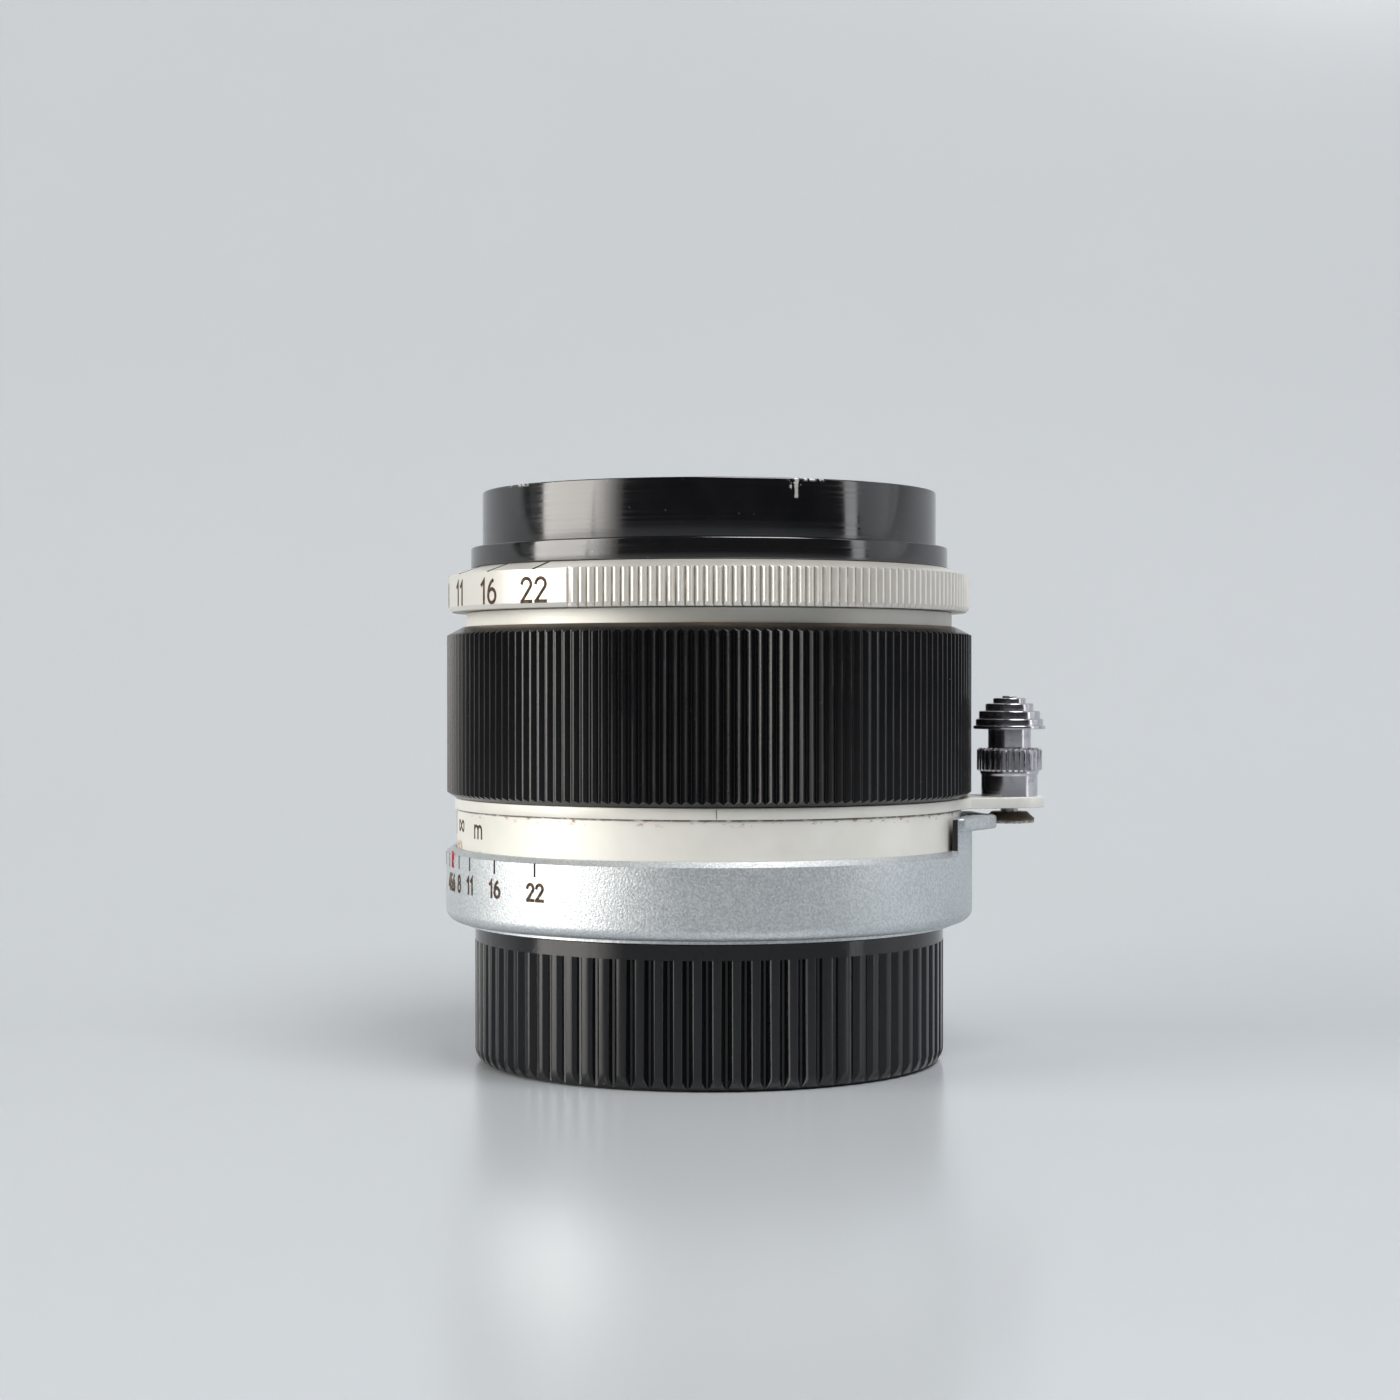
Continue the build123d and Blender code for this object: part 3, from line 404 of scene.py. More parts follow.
def black_enamel():
    """Glossy black lacquer on turned brass: faint turning lines, dust, and chipped edges."""
    chip_face = 20.6
    nicked_stretches = [(-53, 2.2), (24, 1.6)]      # face angle and half width
    made = Finish("black_enamel_finish", Specular_IOR_Level=0.95)
    made.survey()
    lines = made.noise(made.around, 1.0, 3.0, 0.6, (0.03, 9.0, 1.0))
    cloud = made.noise(made.around, 0.25, 3.0, 0.6, (1.0, 0.6, 1.0), 3.0)
    ragged = made.noise(made.around, 2.2, 4.0, 0.7, seed=11.0)
    outer = made.ramp(made.radius, RIM_R - 0.3, RIM_R - 0.15)
    edge = made.times(outer, made.ramp(made.height, RIM_TOP - 0.32, RIM_TOP - 0.04))
    worn = made.times(edge, made.ramp(ragged, 0.66, 0.7))
    nicked = made.most(*[made.near_face(face, RIM_R, spread) for face, spread in nicked_stretches])
    nicks = made.times(edge, nicked, made.ramp(ragged, 0.48, 0.54))
    wobble = made.math("MULTIPLY_ADD", ragged, 0.5, -0.25)
    drip = made.times(outer, made.near_face(chip_face, RIM_R, 0.17, wobble),
                      made.ramp(made.height, RIM_TOP - 1.75, RIM_TOP - 1.6))
    flecks = made.times(outer, made.near_face(chip_face, RIM_R, 0.7), made.ramp(ragged, 0.6, 0.64),
                        made.ramp(made.height, RIM_TOP - 1.5, RIM_TOP - 1.2))
    chips = made.most(drip, flecks, nicks, worn)
    bare = made.most(chips, made.times(made.specks(made.around, 1.6, 0.06), 0.5))
    smooth = made.ramp(lines, 0.3, 0.75, 0.07, 0.18)
    tint = made.mix(made.ramp(cloud, 0.35, 0.7), (0.003, 0.003, 0.004), (0.006, 0.0055, 0.006))
    made.set(Base_Color=made.mix(bare, tint, (0.6, 0.59, 0.57)),
             Metallic=made.times(chips, 0.6),
             Roughness=made.math("ADD", smooth, made.times(chips, 0.25)),
             Normal=made.bump(made.math("SUBTRACT", made.times(lines, 0.05), chips), 0.03, 0.6))
    return made.material


def black_rib():
    """Satin black paint on the grip's cut ribs, rubbed along the crests, with grime on the top edge."""
    made = Finish("black_rib_finish", Specular_IOR_Level=0.5)
    made.survey()
    grain = made.noise(made.around, 5.0, 3.0, 0.6)
    patches = made.noise(made.around, 0.18, 2.0, 0.5, seed=5.0)
    crest = made.times(made.ramp(made.radius, GRIP_R - 0.05, GRIP_R - 0.01),
                       made.ramp(patches, 0.3, 0.65))
    dust = made.specks(made.around, 1.3, 0.05, 4.0)
    rubbed = made.mix(made.times(crest, 0.6), (0.0025, 0.0025, 0.003), (0.035, 0.031, 0.029))
    grime = made.times(made.ramp(made.height, GRIP_TOP - 0.45, GRIP_TOP - 0.05),
                       made.ramp(patches, 0.3, 0.6, 0.25, 0.8))
    grimy = made.mix(grime, rubbed, (0.11, 0.07, 0.04))
    made.set(Base_Color=made.mix(made.times(dust, 0.5), grimy, (0.3, 0.28, 0.26)),
             Roughness=made.ramp(grain, 0.3, 0.7, 0.18, 0.26),
             Normal=made.bump(grain, 0.002, 0.25))
    return made.material


def cap_plastic():
    """Moulded glossy black plastic with small knocks."""
    made = Finish("cap_black_finish", Specular_IOR_Level=0.55)
    made.survey()
    flow = made.noise(made.around, 0.5, 3.0, 0.55, (0.4, 1.6, 1.0))
    scuff = made.noise(made.around, 2.2, 5.0, 0.75, (1.0, 0.5, 1.0), 8.0)
    knocks = made.specks(made.around, 0.55, 0.07, 7.0)
    low_edge = made.times(made.ramp(made.height, 1.4, 0.5), made.ramp(scuff, 0.58, 0.68))
    marks = made.most(made.times(low_edge, 0.6), made.times(knocks, 0.5))
    made.set(Base_Color=made.mix(marks, (0.004, 0.004, 0.0045), (0.14, 0.13, 0.125)),
             Roughness=made.ramp(scuff, 0.4, 0.72, 0.08, 0.24),
             Normal=made.bump(flow, 0.012, 0.35))
    return made.material


def ivory_chrome():
    """Satin chrome gone warm with age, with brown dirt under the lock plate, a dark brown line just under
    the plate that is partly dirt and partly painted shade in the joint, and a few stains.
    """
    stain_face = INDEX + 4
    made = Finish("ivory_chrome_finish")
    made.survey()
    lines = made.noise(made.around, 1.0, 3.0, 0.6, (0.05, 12.0, 1.0))
    cloud = made.noise(made.around, 0.2, 3.0, 0.55, seed=2.0)
    ragged = made.noise(made.around, 1.1, 4.0, 0.65, (1.0, 2.0, 1.0), 6.0)
    below = made.math("LESS_THAN", made.height, PLATE_LOW)
    # The dark brown line just under the lock plate is partly dirt and partly painted shade, where the plate
    # shades the joint.
    dirt_and_shade_line = made.times(made.ramp(made.height, PLATE_LOW - 0.22, PLATE_LOW - 0.06), below,
                      made.ramp(ragged, 0.3, 0.5))
    blotches = made.times(made.ramp(made.height, PLATE_LOW - 0.75, PLATE_LOW - 0.2), below,
                          made.ramp(ragged, 0.56, 0.66))
    stain = made.times(made.near_face(stain_face, DISTANCE_R, 2.6),
                       made.ramp(made.height, SCALE_TOP + 1.1, SCALE_TOP + 0.2),
                       made.ramp(ragged, 0.42, 0.6))
    spots = made.times(made.specks(made.around, 0.35, 0.09, 9.0), 0.5)
    rust = made.most(blotches, stain, spots)
    tone = made.mix(made.ramp(cloud, 0.35, 0.7), (0.755, 0.74, 0.69), (0.705, 0.69, 0.635))
    rusty = made.mix(made.times(rust, 0.8), tone, (0.3, 0.13, 0.04))
    # Mixes in the dark brown line under the plate: dirt plus painted shade.
    made.set(Base_Color=made.mix(made.times(dirt_and_shade_line, 0.85), rusty, (0.06, 0.035, 0.02)),
             Metallic=made.math("SUBTRACT", 0.28, made.times(rust, 0.2)),
             Roughness=made.ramp(lines, 0.3, 0.7, 0.44, 0.52),
             Normal=made.bump(lines, 0.002, 0.4))
    return made.material


def satin_chrome():
    """Fine blasted chrome, cool and grainy, with near-black painted shade on the lug's inner wall and ends.
    """
    made = Finish("satin_chrome_finish")
    made.survey()
    grain = made.noise(made.position(), 5.5, 2.0, 0.55)
    sparkle = made.noise(made.position(), 4.5, 1.0, 0.5, seed=8.0)
    cloud = made.noise(made.around, 0.16, 2.0, 0.5, seed=1.0)
    dust = made.specks(made.around, 0.5, 0.05, 12.0)
    # Painted shade: near black and not metallic on the lug's inner wall and end faces, where the gap by the
    # distance ring lies in shadow.
    gap = made.times(made.ramp(made.height, SCALE_TOP + 0.01, SCALE_TOP + 0.06),
                     made.ramp(made.height, LUG_TOP - 0.1, LUG_TOP - 0.16),
                     made.ramp(made.radius, BODY_R - 0.03, BODY_R - 0.06))
    tone = made.mix(made.ramp(cloud, 0.3, 0.7), (0.66, 0.695, 0.71), (0.72, 0.745, 0.76))
    speckled = made.mix(made.ramp(sparkle, 0.38, 0.62), made.mix(0.3, tone, (0.3, 0.32, 0.33)), tone)
    dusty = made.mix(made.times(dust, 0.5), speckled, (0.2, 0.19, 0.18))
    # The lug's painted shade replaces the chrome colour and turns metallic off.
    made.set(Base_Color=made.mix(gap, dusty, (0.012, 0.009, 0.007)),
             Metallic=made.math("SUBTRACT", 1.0, gap),
             Roughness=made.ramp(grain, 0.3, 0.7, 0.4, 0.54),
             Normal=made.bump(grain, 0.05, 0.8))
    return made.material


def knurled_chrome():
    """The aperture ring's warm chrome, with dirt in the bottoms of the knurl."""
    made = Finish("knurled_chrome_finish")
    made.survey()
    grain = made.noise(made.around, 3.0, 3.0, 0.6)
    patches = made.noise(made.around, 0.5, 3.0, 0.6, seed=3.0)
    dirt = made.times(made.ramp(made.radius, STOP_R - 0.22, STOP_R - 0.36), made.ramp(patches, 0.2, 0.6),
                      made.ramp(made.height, STOP_TOP - 0.6, STOP_TOP - 0.72))
    made.set(Base_Color=made.mix(made.times(dirt, 0.6), (0.76, 0.735, 0.68), (0.27, 0.21, 0.165)),
             Metallic=0.5,
             Roughness=made.ramp(grain, 0.3, 0.7, 0.3, 0.4),
             Normal=made.bump(grain, 0.004, 0.4))
    return made.material


def dark_chrome():
    """The lock knob's polished chrome, worn and slightly clouded."""
    made = Finish("dark_chrome_finish", Metallic=1.0)
    made.survey(LOCK_X)
    lines = made.noise(made.around, 1.4, 3.0, 0.6, (0.1, 6.0, 1.0))
    cloud = made.noise(made.around, 1.2, 4.0, 0.65, seed=4.0)
    made.set(Base_Color=made.mix(made.ramp(cloud, 0.45, 0.7), (0.6, 0.59, 0.62), (0.44, 0.42, 0.45)),
             Roughness=made.ramp(lines, 0.3, 0.7, 0.15, 0.23),
             Normal=made.bump(lines, 0.001, 0.3))
    return made.material


def old_steel():
    """The lock's coned disc: browned steel with a rubbed rim."""
    made = Finish("old_steel_finish", Metallic=0.9)
    made.survey(LOCK_X)
    cloud = made.noise(made.around, 2.0, 5.0, 0.7, (1.0, 1.6, 1.0), 4.0)
    rim = made.times(made.ramp(made.height, DISC_LOW + 0.35, DISC_LOW + 0.1), made.ramp(cloud, 0.35, 0.6))
    made.set(Base_Color=made.mix(rim, (0.1, 0.075, 0.055), (0.6, 0.56, 0.5)),
             Roughness=made.ramp(cloud, 0.3, 0.7, 0.3, 0.5),
             Normal=made.bump(cloud, 0.01, 0.4))
    return made.material


def machined(name, light, dark, metallic, rough):
    """Turned metal with fine lines round the axis."""
    made = Finish(name, Metallic=metallic)
    made.survey()
    lines = made.noise(made.around, 1.0, 3.0, 0.6, (0.05, 10.0, 10.0))
    cloud = made.noise(made.around, 0.4, 3.0, 0.6, seed=6.0)
    made.set(Base_Color=made.mix(made.ramp(cloud, 0.3, 0.7), light, dark),
             Roughness=made.ramp(lines, 0.3, 0.7, rough, rough + 0.14),
             Normal=made.bump(lines, 0.004, 0.5))
    return made.material


def lens_glass():
    """Coated optical glass: clear, with a faint violet and amber bloom."""
    made = Finish("glass_finish", Transmission_Weight=1.0, IOR=1.62, Coat_Weight=0.5, Coat_Roughness=0.02)
    bloom = made.noise(made.position(), 0.08, 2.0, 0.5)
    wiped = made.noise(made.position(), 0.5, 4.0, 0.6, (1.0, 0.3, 1.0))
    made.set(Base_Color=made.mix(bloom, (0.93, 0.95, 0.99), (0.99, 0.97, 0.93)),
             Roughness=made.ramp(wiped, 0.45, 0.8, 0.0, 0.03))
    return made.material


def paint(name, colour, thin):
    """Engraver's paint, a little uneven in its groove."""
    made = Finish(name, Specular_IOR_Level=0.08)
    grain = made.noise(made.position(), 3.0, 3.0, 0.6)
    made.set(Base_Color=made.mix(made.ramp(grain, 0.35, 0.75), colour, thin),
             Roughness=made.ramp(grain, 0.3, 0.7, 0.7, 0.9),
             Normal=made.bump(grain, 0.01, 0.4))
    return made.material


FINISHES = {
    "black_enamel": black_enamel(),
    "black_rib": black_rib(),
    "cap_black": cap_plastic(),
    "ivory_chrome": ivory_chrome(),
    "satin_chrome": satin_chrome(),
    "knurled_chrome": knurled_chrome(),
    "dark_chrome": dark_chrome(),
    "steel": machined("steel_finish", (0.55, 0.55, 0.56), (0.42, 0.42, 0.43), 1.0, 0.25),
    "brass": machined("brass_finish", (0.76, 0.58, 0.29), (0.62, 0.45, 0.2), 1.0, 0.26),
    "aluminium": machined("aluminium_finish", (0.72, 0.72, 0.73), (0.62, 0.62, 0.64), 1.0, 0.3),
    "black_anodised": machined("black_anodised_finish", (0.018, 0.018, 0.019), (0.03, 0.03, 0.032), 0.0,
                               0.42),
    "blade_steel": machined("blade_steel_finish", (0.1, 0.1, 0.105), (0.06, 0.06, 0.062), 0.9, 0.4),
    "glass": lens_glass(),
}
OLD_STEEL = old_steel()
BROWN_PAINT = paint("brown_paint_finish", (0.055, 0.036, 0.025), (0.17, 0.115, 0.08))
BLACK_PAINT = paint("black_paint_finish", (0.012, 0.011, 0.011), (0.04, 0.036, 0.033))
RED_PAINT = paint("red_paint_finish", (0.5, 0.012, 0.03), (0.7, 0.09, 0.1))
# Near-white strips beside the depth lines: a painted highlight on the engraving's lit bevel edge.
PAINTED_HIGHLIGHT = machined("painted_highlight_finish", (0.95, 0.95, 0.93), (0.9, 0.9, 0.88), 0.6, 0.3)

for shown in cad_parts.values():
    for place in shown.material_slots:
        place.material = FINISHES[place.material.name.split(".")[0]]
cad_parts["lock_disc"].material_slots[0].material = OLD_STEEL


def stands_for(node):
    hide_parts(node)


# ---- lens head ----
def make_filter_rim():
    crest, root, low, pitch = 19.75, 20.0, 48.2, 0.75
    seat_r, lip_r, lip_top, mouth = 19.27, 18.4, 47.25, RIM_TOP - 0.3
    outline = [(lip_r, RIM_LOW), (RIM_R, RIM_LOW, 0.08), (RIM_R, RIM_TOP, 0.13),
               (crest + 0.4, RIM_TOP, 0.06), (crest + 0.05, mouth)]
    inside = [(crest, low)] + thread(crest, root, low, mouth, pitch)
    outline += inside[::-1] + [(seat_r, low), (seat_r, lip_top), (lip_r, lip_top)]
    piece = turned("filter_rim", rounded(outline), "lens_head", FINISHES["black_enamel"])
    stands_for("filter_ring")


def make_retainer():
    outline = [(SPIGOT_R, RETAINER_LOW), (RETAINER_R, RETAINER_LOW, 0.1), (RETAINER_R, RETAINER_TOP, 0.16),
               (SPIGOT_R, RETAINER_TOP)]
    piece = turned("front_retainer", rounded(outline), "lens_head", FINISHES["black_enamel"])
    stands_for("aperture_retainer")


def make_collar():
    head_flange_r, head_flange_top = 21.52, 39.9
    outline = [(head_flange_r, COLLAR_LOW), (COLLAR_R, COLLAR_LOW), (COLLAR_R, COLLAR_TOP, 0.1),
               (SPIGOT_R, COLLAR_TOP), (SPIGOT_R, head_flange_top), (head_flange_r, head_flange_top)]
    piece = turned("plain_collar", rounded(outline), "lens_head", FINISHES["ivory_chrome"])
    stands_for("front_collar")


# ---- aperture ring ----
BEVEL_LOW = 43.9


def aperture_columns():
    """A knurl over two thirds of the ring, then the smooth number panel with a groove at each end."""
    pitches_round, ribs, knurl_start, knurl_depth = 188, 119, -119.0, 0.38
    groove_r, steps = STOP_R - 0.22, 70
    shape = [(-0.18, 0.08), (-0.11, 0.0), (0.11, 0.0), (0.18, 0.08), (0.5, 1.0)]
    columns = rib_columns(STOP_R, knurl_depth, pitches_round, shape, knurl_start, ribs)
    knurl_end = columns[-1][0]
    panel_start, panel_end = knurl_end + 1.7, knurl_start + 358.5
    pitch = (panel_end - panel_start) / steps
    columns += [(knurl_end + 0.15, groove_r), (panel_start - 0.05, groove_r)]
    columns += [(panel_start + pitch * step, STOP_R) for step in range(steps + 1)]
    return columns + [(panel_end + 0.05, groove_r), (panel_end + 0.8, groove_r)]


def aperture_outline(rib):
    bore, groove, track = SPIGOT_R + 0.04, 21.45, 40.95
    chamfer_r, chamfer = 23.45, 0.3
    bevel_slope = (STOP_TOP - BEVEL_LOW) / (STOP_R - RETAINER_R)
    return [(bore, track), (groove, track), (groove, STOP_LOW), (chamfer_r, STOP_LOW),
            (rib, STOP_LOW + chamfer * (rib - chamfer_r + 0.1) / (STOP_R - chamfer_r)),
            (rib, BEVEL_LOW + (STOP_R - rib) * bevel_slope), (RETAINER_R, STOP_TOP), (bore, STOP_TOP)]


def make_aperture_ring():
    piece = turned("stop_ring", aperture_outline, "aperture_ring", FINISHES["knurled_chrome"],
                   aperture_columns())
    stands_for("aperture_ring")
    number_z, widest = 42.15, 7.3       # the widest stop, 1.8, has a tick and no number
    numbers, ticks = bmesh.new(), bmesh.new()
    stops = ["22", "16", "11", "8", "5.6", "4", "2.8", "2"]
    for step, text in enumerate(stops):
        write(numbers, text, 1.95, 0.3, on_cylinder(STOP_R, STOP_22 - step * STOP_SPACING, number_z), 1.2)
    for step in [*range(len(stops)), widest]:
        on_bevel = on_cone(STOP_R, BEVEL_LOW, RETAINER_R, STOP_TOP, STOP_22 - step * STOP_SPACING)
        ribbon(ticks, [(0, 0.1), (0, 1.9)], 0.32, on_bevel)
    closed_object("stop_numbers", numbers, "aperture_ring", BROWN_PAINT)
    closed_object("stop_ticks", ticks, "aperture_ring", BLACK_PAINT)


# ---- focus ring ----
def grip_outline(rib):
    foot_r, foot, shoulder_r, shoulder = 23.1, 0.54, 22.5, 0.75
    step_z = 33.5
    return [(HELICOID_R, GRIP_LOW), (foot_r, GRIP_LOW),
            (rib, GRIP_LOW + foot * (rib - foot_r) / (GRIP_R - foot_r)),
            (rib, GRIP_TOP - shoulder * (rib - shoulder_r) / (GRIP_R - shoulder_r)),
            (shoulder_r, GRIP_TOP), (GRIP_BORE, GRIP_TOP), (GRIP_BORE, step_z), (HELICOID_R, step_z)]


def make_grip():
    ribs, depth = 167, 0.36
    shape = [(-0.1, 0.12), (-0.06, 0.0), (0.06, 0.0), (0.1, 0.12), (0.46, 1.0), (0.54, 1.0)]
    columns = rib_columns(GRIP_R, depth, ribs, shape)
    piece = turned("ribbed_grip", grip_outline, "focus_ring", FINISHES["black_rib"], columns, smooth=25)
    stands_for("focus_grip")


def focus_turn(metres):
    """How far the focus ring turns from infinity to a distance, by the lens formula."""
    focal_length, principal_gap, lead = 51.588, 0.524, 5.96
    return 360 / lead * focal_length ** 2 / (metres / MM - 2 * focal_length - principal_gap)


def make_distance_ring():
    inner, web = 22.35, 21.9
    outline = [(inner, DISTANCE_LOW), (DISTANCE_R, DISTANCE_LOW), (DISTANCE_R, DISTANCE_TOP, 0.05),
               (HELICOID_R, DISTANCE_TOP), (HELICOID_R, web), (inner, web)]
    piece = turned("distance_scale", rounded(outline), "focus_ring", FINISHES["ivory_chrome"])
    stands_for("distance_ring")
    numbers = bmesh.new()
    number_z, tick_low, line_low = 21.5, 19.75, 20.75
    for text in ["15", "7", "5", "4", "3", "2.5", "2", "1.7", "1.5", "1.3", "1.2", "1.1", "1"]:
        face = INDEX - focus_turn(float(text))
        write(numbers, text, 1.3, 0.2, on_cylinder(DISTANCE_R, face, number_z), 1.1)
        ribbon(numbers, [(0, 0), (0, 0.45)], 0.15, on_cylinder(DISTANCE_R, face, tick_low))
    ribbon(numbers, [(0, 0), (0, 1.8)], 0.35, on_cylinder(DISTANCE_R, INDEX, line_low))
    write(numbers, "~", 1.7, 0.22, on_cylinder(DISTANCE_R, INDEX + 9.0, number_z + 0.25))
    write(numbers, "m", 1.62, 0.24, on_cylinder(DISTANCE_R, INDEX + 21.4, number_z))
    closed_object("distance_numbers", numbers, "focus_ring", BROWN_PAINT)


def make_lock_plate():
    """The plate's round, which gives way to a tab's two straight flanks and rounded end."""
    tab_r = TAB_END - LOCK_X
    flank_x, flank_y = 22.2, 6.7
    flank_angle = degrees(atan2(flank_y, flank_x))
    neck_x, neck_y = 23.5, 4.4
    outer = arc(PLATE_R, flank_angle, 360 - flank_angle, 180) + [(neck_x, -neck_y)]
    outer += arc(tab_r, -87, 87, 36, LOCK_X) + [(neck_x, neck_y)]
    piece = plate("tab_plate", [outer, arc(HELICOID_R, 0, 357.5, 143)], PLATE_LOW, PLATE_TOP, 0.07,
                  "focus_ring", FINISHES["ivory_chrome"])
    stands_for("lock_plate")
    scribe_face, margin = 1.3, 0.1
    scribe = bmesh.new()
    ribbon(scribe, [(0, 0), (0, PLATE_TOP - PLATE_LOW - 2 * margin)], 0.05,
           on_cylinder(PLATE_R, scribe_face, PLATE_LOW + margin))
    closed_object("plate_scribe", scribe, "focus_ring", BROWN_PAINT)


# ---- infinity lock ----
def make_lock_housing():
    """A plain turned post, and the knurled collar on top of it."""
    neck_r, body_r, bead_r, pin_bore, stem_bore = 1.6, 2.58, 2.68, 0.85, 2.02
    bead_low, bead_full, collar_low, post_top = 25.8, 26.0, 26.22, 26.23
    post = [(pin_bore, HOUSING_LOW), (neck_r, HOUSING_LOW), (neck_r, PLATE_TOP), (body_r, PLATE_TOP),
            (body_r, bead_low, 0.06), (bead_r, bead_full, 0.06), (bead_r, post_top), (stem_bore, post_top),
            (stem_bore, HOUSING_FLOOR), (pin_bore, HOUSING_FLOOR)]
    piece = turned("lock_post", rounded(post), "focus_ring", FINISHES["dark_chrome"],
                   plain_columns(96), LOCK_X)
    stands_for("lock_housing")

    def collar(rib):
        return [(stem_bore, collar_low), (rib - 0.14, collar_low), (rib, collar_low + 0.14),
                (rib, HOUSING_TOP - 0.2), (rib - 0.2, HOUSING_TOP), (stem_bore, HOUSING_TOP)]

    ribs, depth = 34, 0.26
    shape = [(-0.3, 0.15), (-0.26, 0.0), (0.26, 0.0), (0.3, 0.15), (0.42, 1.0), (0.58, 1.0)]
    columns = rib_columns(HOUSING_R, depth, ribs, shape)
    knurl = turned("lock_collar", collar, "focus_ring", FINISHES["dark_chrome"], columns, LOCK_X, smooth=25)


def make_lock_button():
    stem_r, stem_top, bore, pin_r, pin_top = 1.97, 30.06, 1.5, 0.82, 31.5
    steps = [(BUTTON_R, 30.37), (3.08, 31.0), (2.8, 31.72), (2.2, 32.4), (1.5, 32.9), (0.65, BUTTON_TOP)]
    outline = [(bore, BUTTON_FOOT), (stem_r, BUTTON_FOOT, 0.05), (stem_r, stem_top)]
    floor = stem_top
    for radius, top in steps:
        edge = 0.07 if top - floor < 0.35 else 0.13
        outline += [(radius, floor) if floor > stem_top else (radius, floor, 0.05), (radius, top, edge)]
        floor = top
    outline += [(0, floor), (0, pin_top), (pin_r, pin_top), (pin_r, BUTTON_CEILING), (bore, BUTTON_CEILING)]
    piece = turned("stepped_button", rounded(outline), "lock_plunger", FINISHES["dark_chrome"],
                   plain_columns(96), LOCK_X)
    stands_for("lock_button")


def make_lock_spring():
    """The button's return spring, a fixed coil that fills the CAD spring's box."""
    low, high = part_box("lock_spring")
    wire, turns, steps, sides = 0.12, 7, 224, 8
    coil = (high.y - low.y) / 2 / MM - wire
    bottom, top = low.z / MM + wire, high.z / MM - wire
    mesh = bmesh.new()
    sections = []
    for step in range(steps + 1):
        turn = 2 * pi * turns * step / steps
        out = Vector((cos(turn), sin(turn), 0))
        middle = Vector((LOCK_X, 0, bottom + (top - bottom) * step / steps)) + out * coil
        around = [2 * pi * side / sides for side in range(sides)]
        sections.append([mesh.verts.new(middle + (out * cos(angle) + Vector((0, 0, sin(angle)))) * wire)
                         for angle in around])
    join_tube(mesh, sections)
    piece = closed_object("return_spring", mesh, "focus_ring", FINISHES["steel"])
    stands_for("lock_spring")
    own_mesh(piece)


def make_lock_disc():
    pin_r, brim_top, crown_r = 0.82, 21.9, 1.64
    outline = [(pin_r, DISC_LOW), (DISC_R, DISC_LOW, 0.08), (DISC_R, brim_top, 0.05),
               (crown_r, DISC_TOP, 0.08), (pin_r, DISC_TOP)]
    piece = turned("coned_disc", rounded(outline), "lock_plunger", OLD_STEEL, plain_columns(96), LOCK_X)
    stands_for("lock_disc")


# ---- mount: depth scale ring and its catch ----
LUG_START = -24.4        # turn angles of the lug's two ends
LUG_END = 9.0
CATCH_LOW = 21.13


def depth_columns():
    """Even columns, with a step up to the lug's height between its two ends."""
    cut = 0.02
    lug = [(LUG_START + (LUG_END - LUG_START) * step / 24, LUG_TOP) for step in range(25)]
    rest = 360 - (LUG_END - LUG_START) - 2 * cut
    ring = [(LUG_END + cut + rest * step / 232, None) for step in range(233)]
    return lug + ring


def depth_outline(lug_top):
    """One column's outline: tall on the lug, and elsewhere with a chamfered top edge."""
    bore, seat, web, web_low, web_top, step = DISTANCE_R + 0.08, 22.42, 19.9, 13.6, 14.2, 15.5
    bottom = rounded([(seat, SCALE_LOW), (BODY_R, SCALE_LOW, 1.05), (BODY_R, SCALE_TOP)], 8)[:-1]
    wall = BODY_R - 0.5
    if lug_top:
        top = [(BODY_R, SCALE_TOP - 0.45), (BODY_R, lug_top - 0.1), (BODY_R - 0.1, lug_top),
               (wall, lug_top), (wall, SCALE_TOP)]
    else:
        top = [(BODY_R, SCALE_TOP - 0.45), (BODY_R - 0.03, SCALE_TOP - 0.43),
               (BODY_R - 0.55, SCALE_TOP - 0.03), (BODY_R - 0.58, SCALE_TOP - 0.01),
               (BODY_R - 0.6, SCALE_TOP)]
    inside = [(bore, SCALE_TOP), (bore, step), (seat, step), (seat, web_top), (web, web_top),
              (web, web_low), (seat, web_low)]
    return bottom + top + inside


def depth_marks(number_mesh, line_mesh, highlight_mesh):
    """Lines, each with a painted highlight strip on one side, and numbers either side of the index, as far
    from it as the focus ring turns for each stop.
    """
    number_z, line_low, spread_22, highlight_aside = 16.58, 17.97, 45.0, 0.16
    tall = SCALE_TOP - line_low - 0.5
    for text in ["22", "16", "11", "8", "5.6", "4"]:
        spread = round(spread_22 * float(text) / 22, 1)
        broad = 0.7 if text == "5.6" else 1.1
        for side in (1, -1):
            face = INDEX + side * spread
            write(number_mesh, text, 1.35, 0.28, on_cylinder(BODY_R, face, number_z), broad)
            marks = on_cylinder(BODY_R, face, line_low)
            ribbon(line_mesh, [(0, 0), (0, tall)], 0.22, marks)
            # A near-white strip to one side of each line: painted highlight on the lit edge of the engraved
            # groove.
            ribbon(highlight_mesh, [(highlight_aside, 0), (highlight_aside, tall)], 0.09, marks, 0.01)
    ribbon(line_mesh, [(0, 0), (0, tall)], 0.2, on_cylinder(BODY_R, INDEX, line_low))


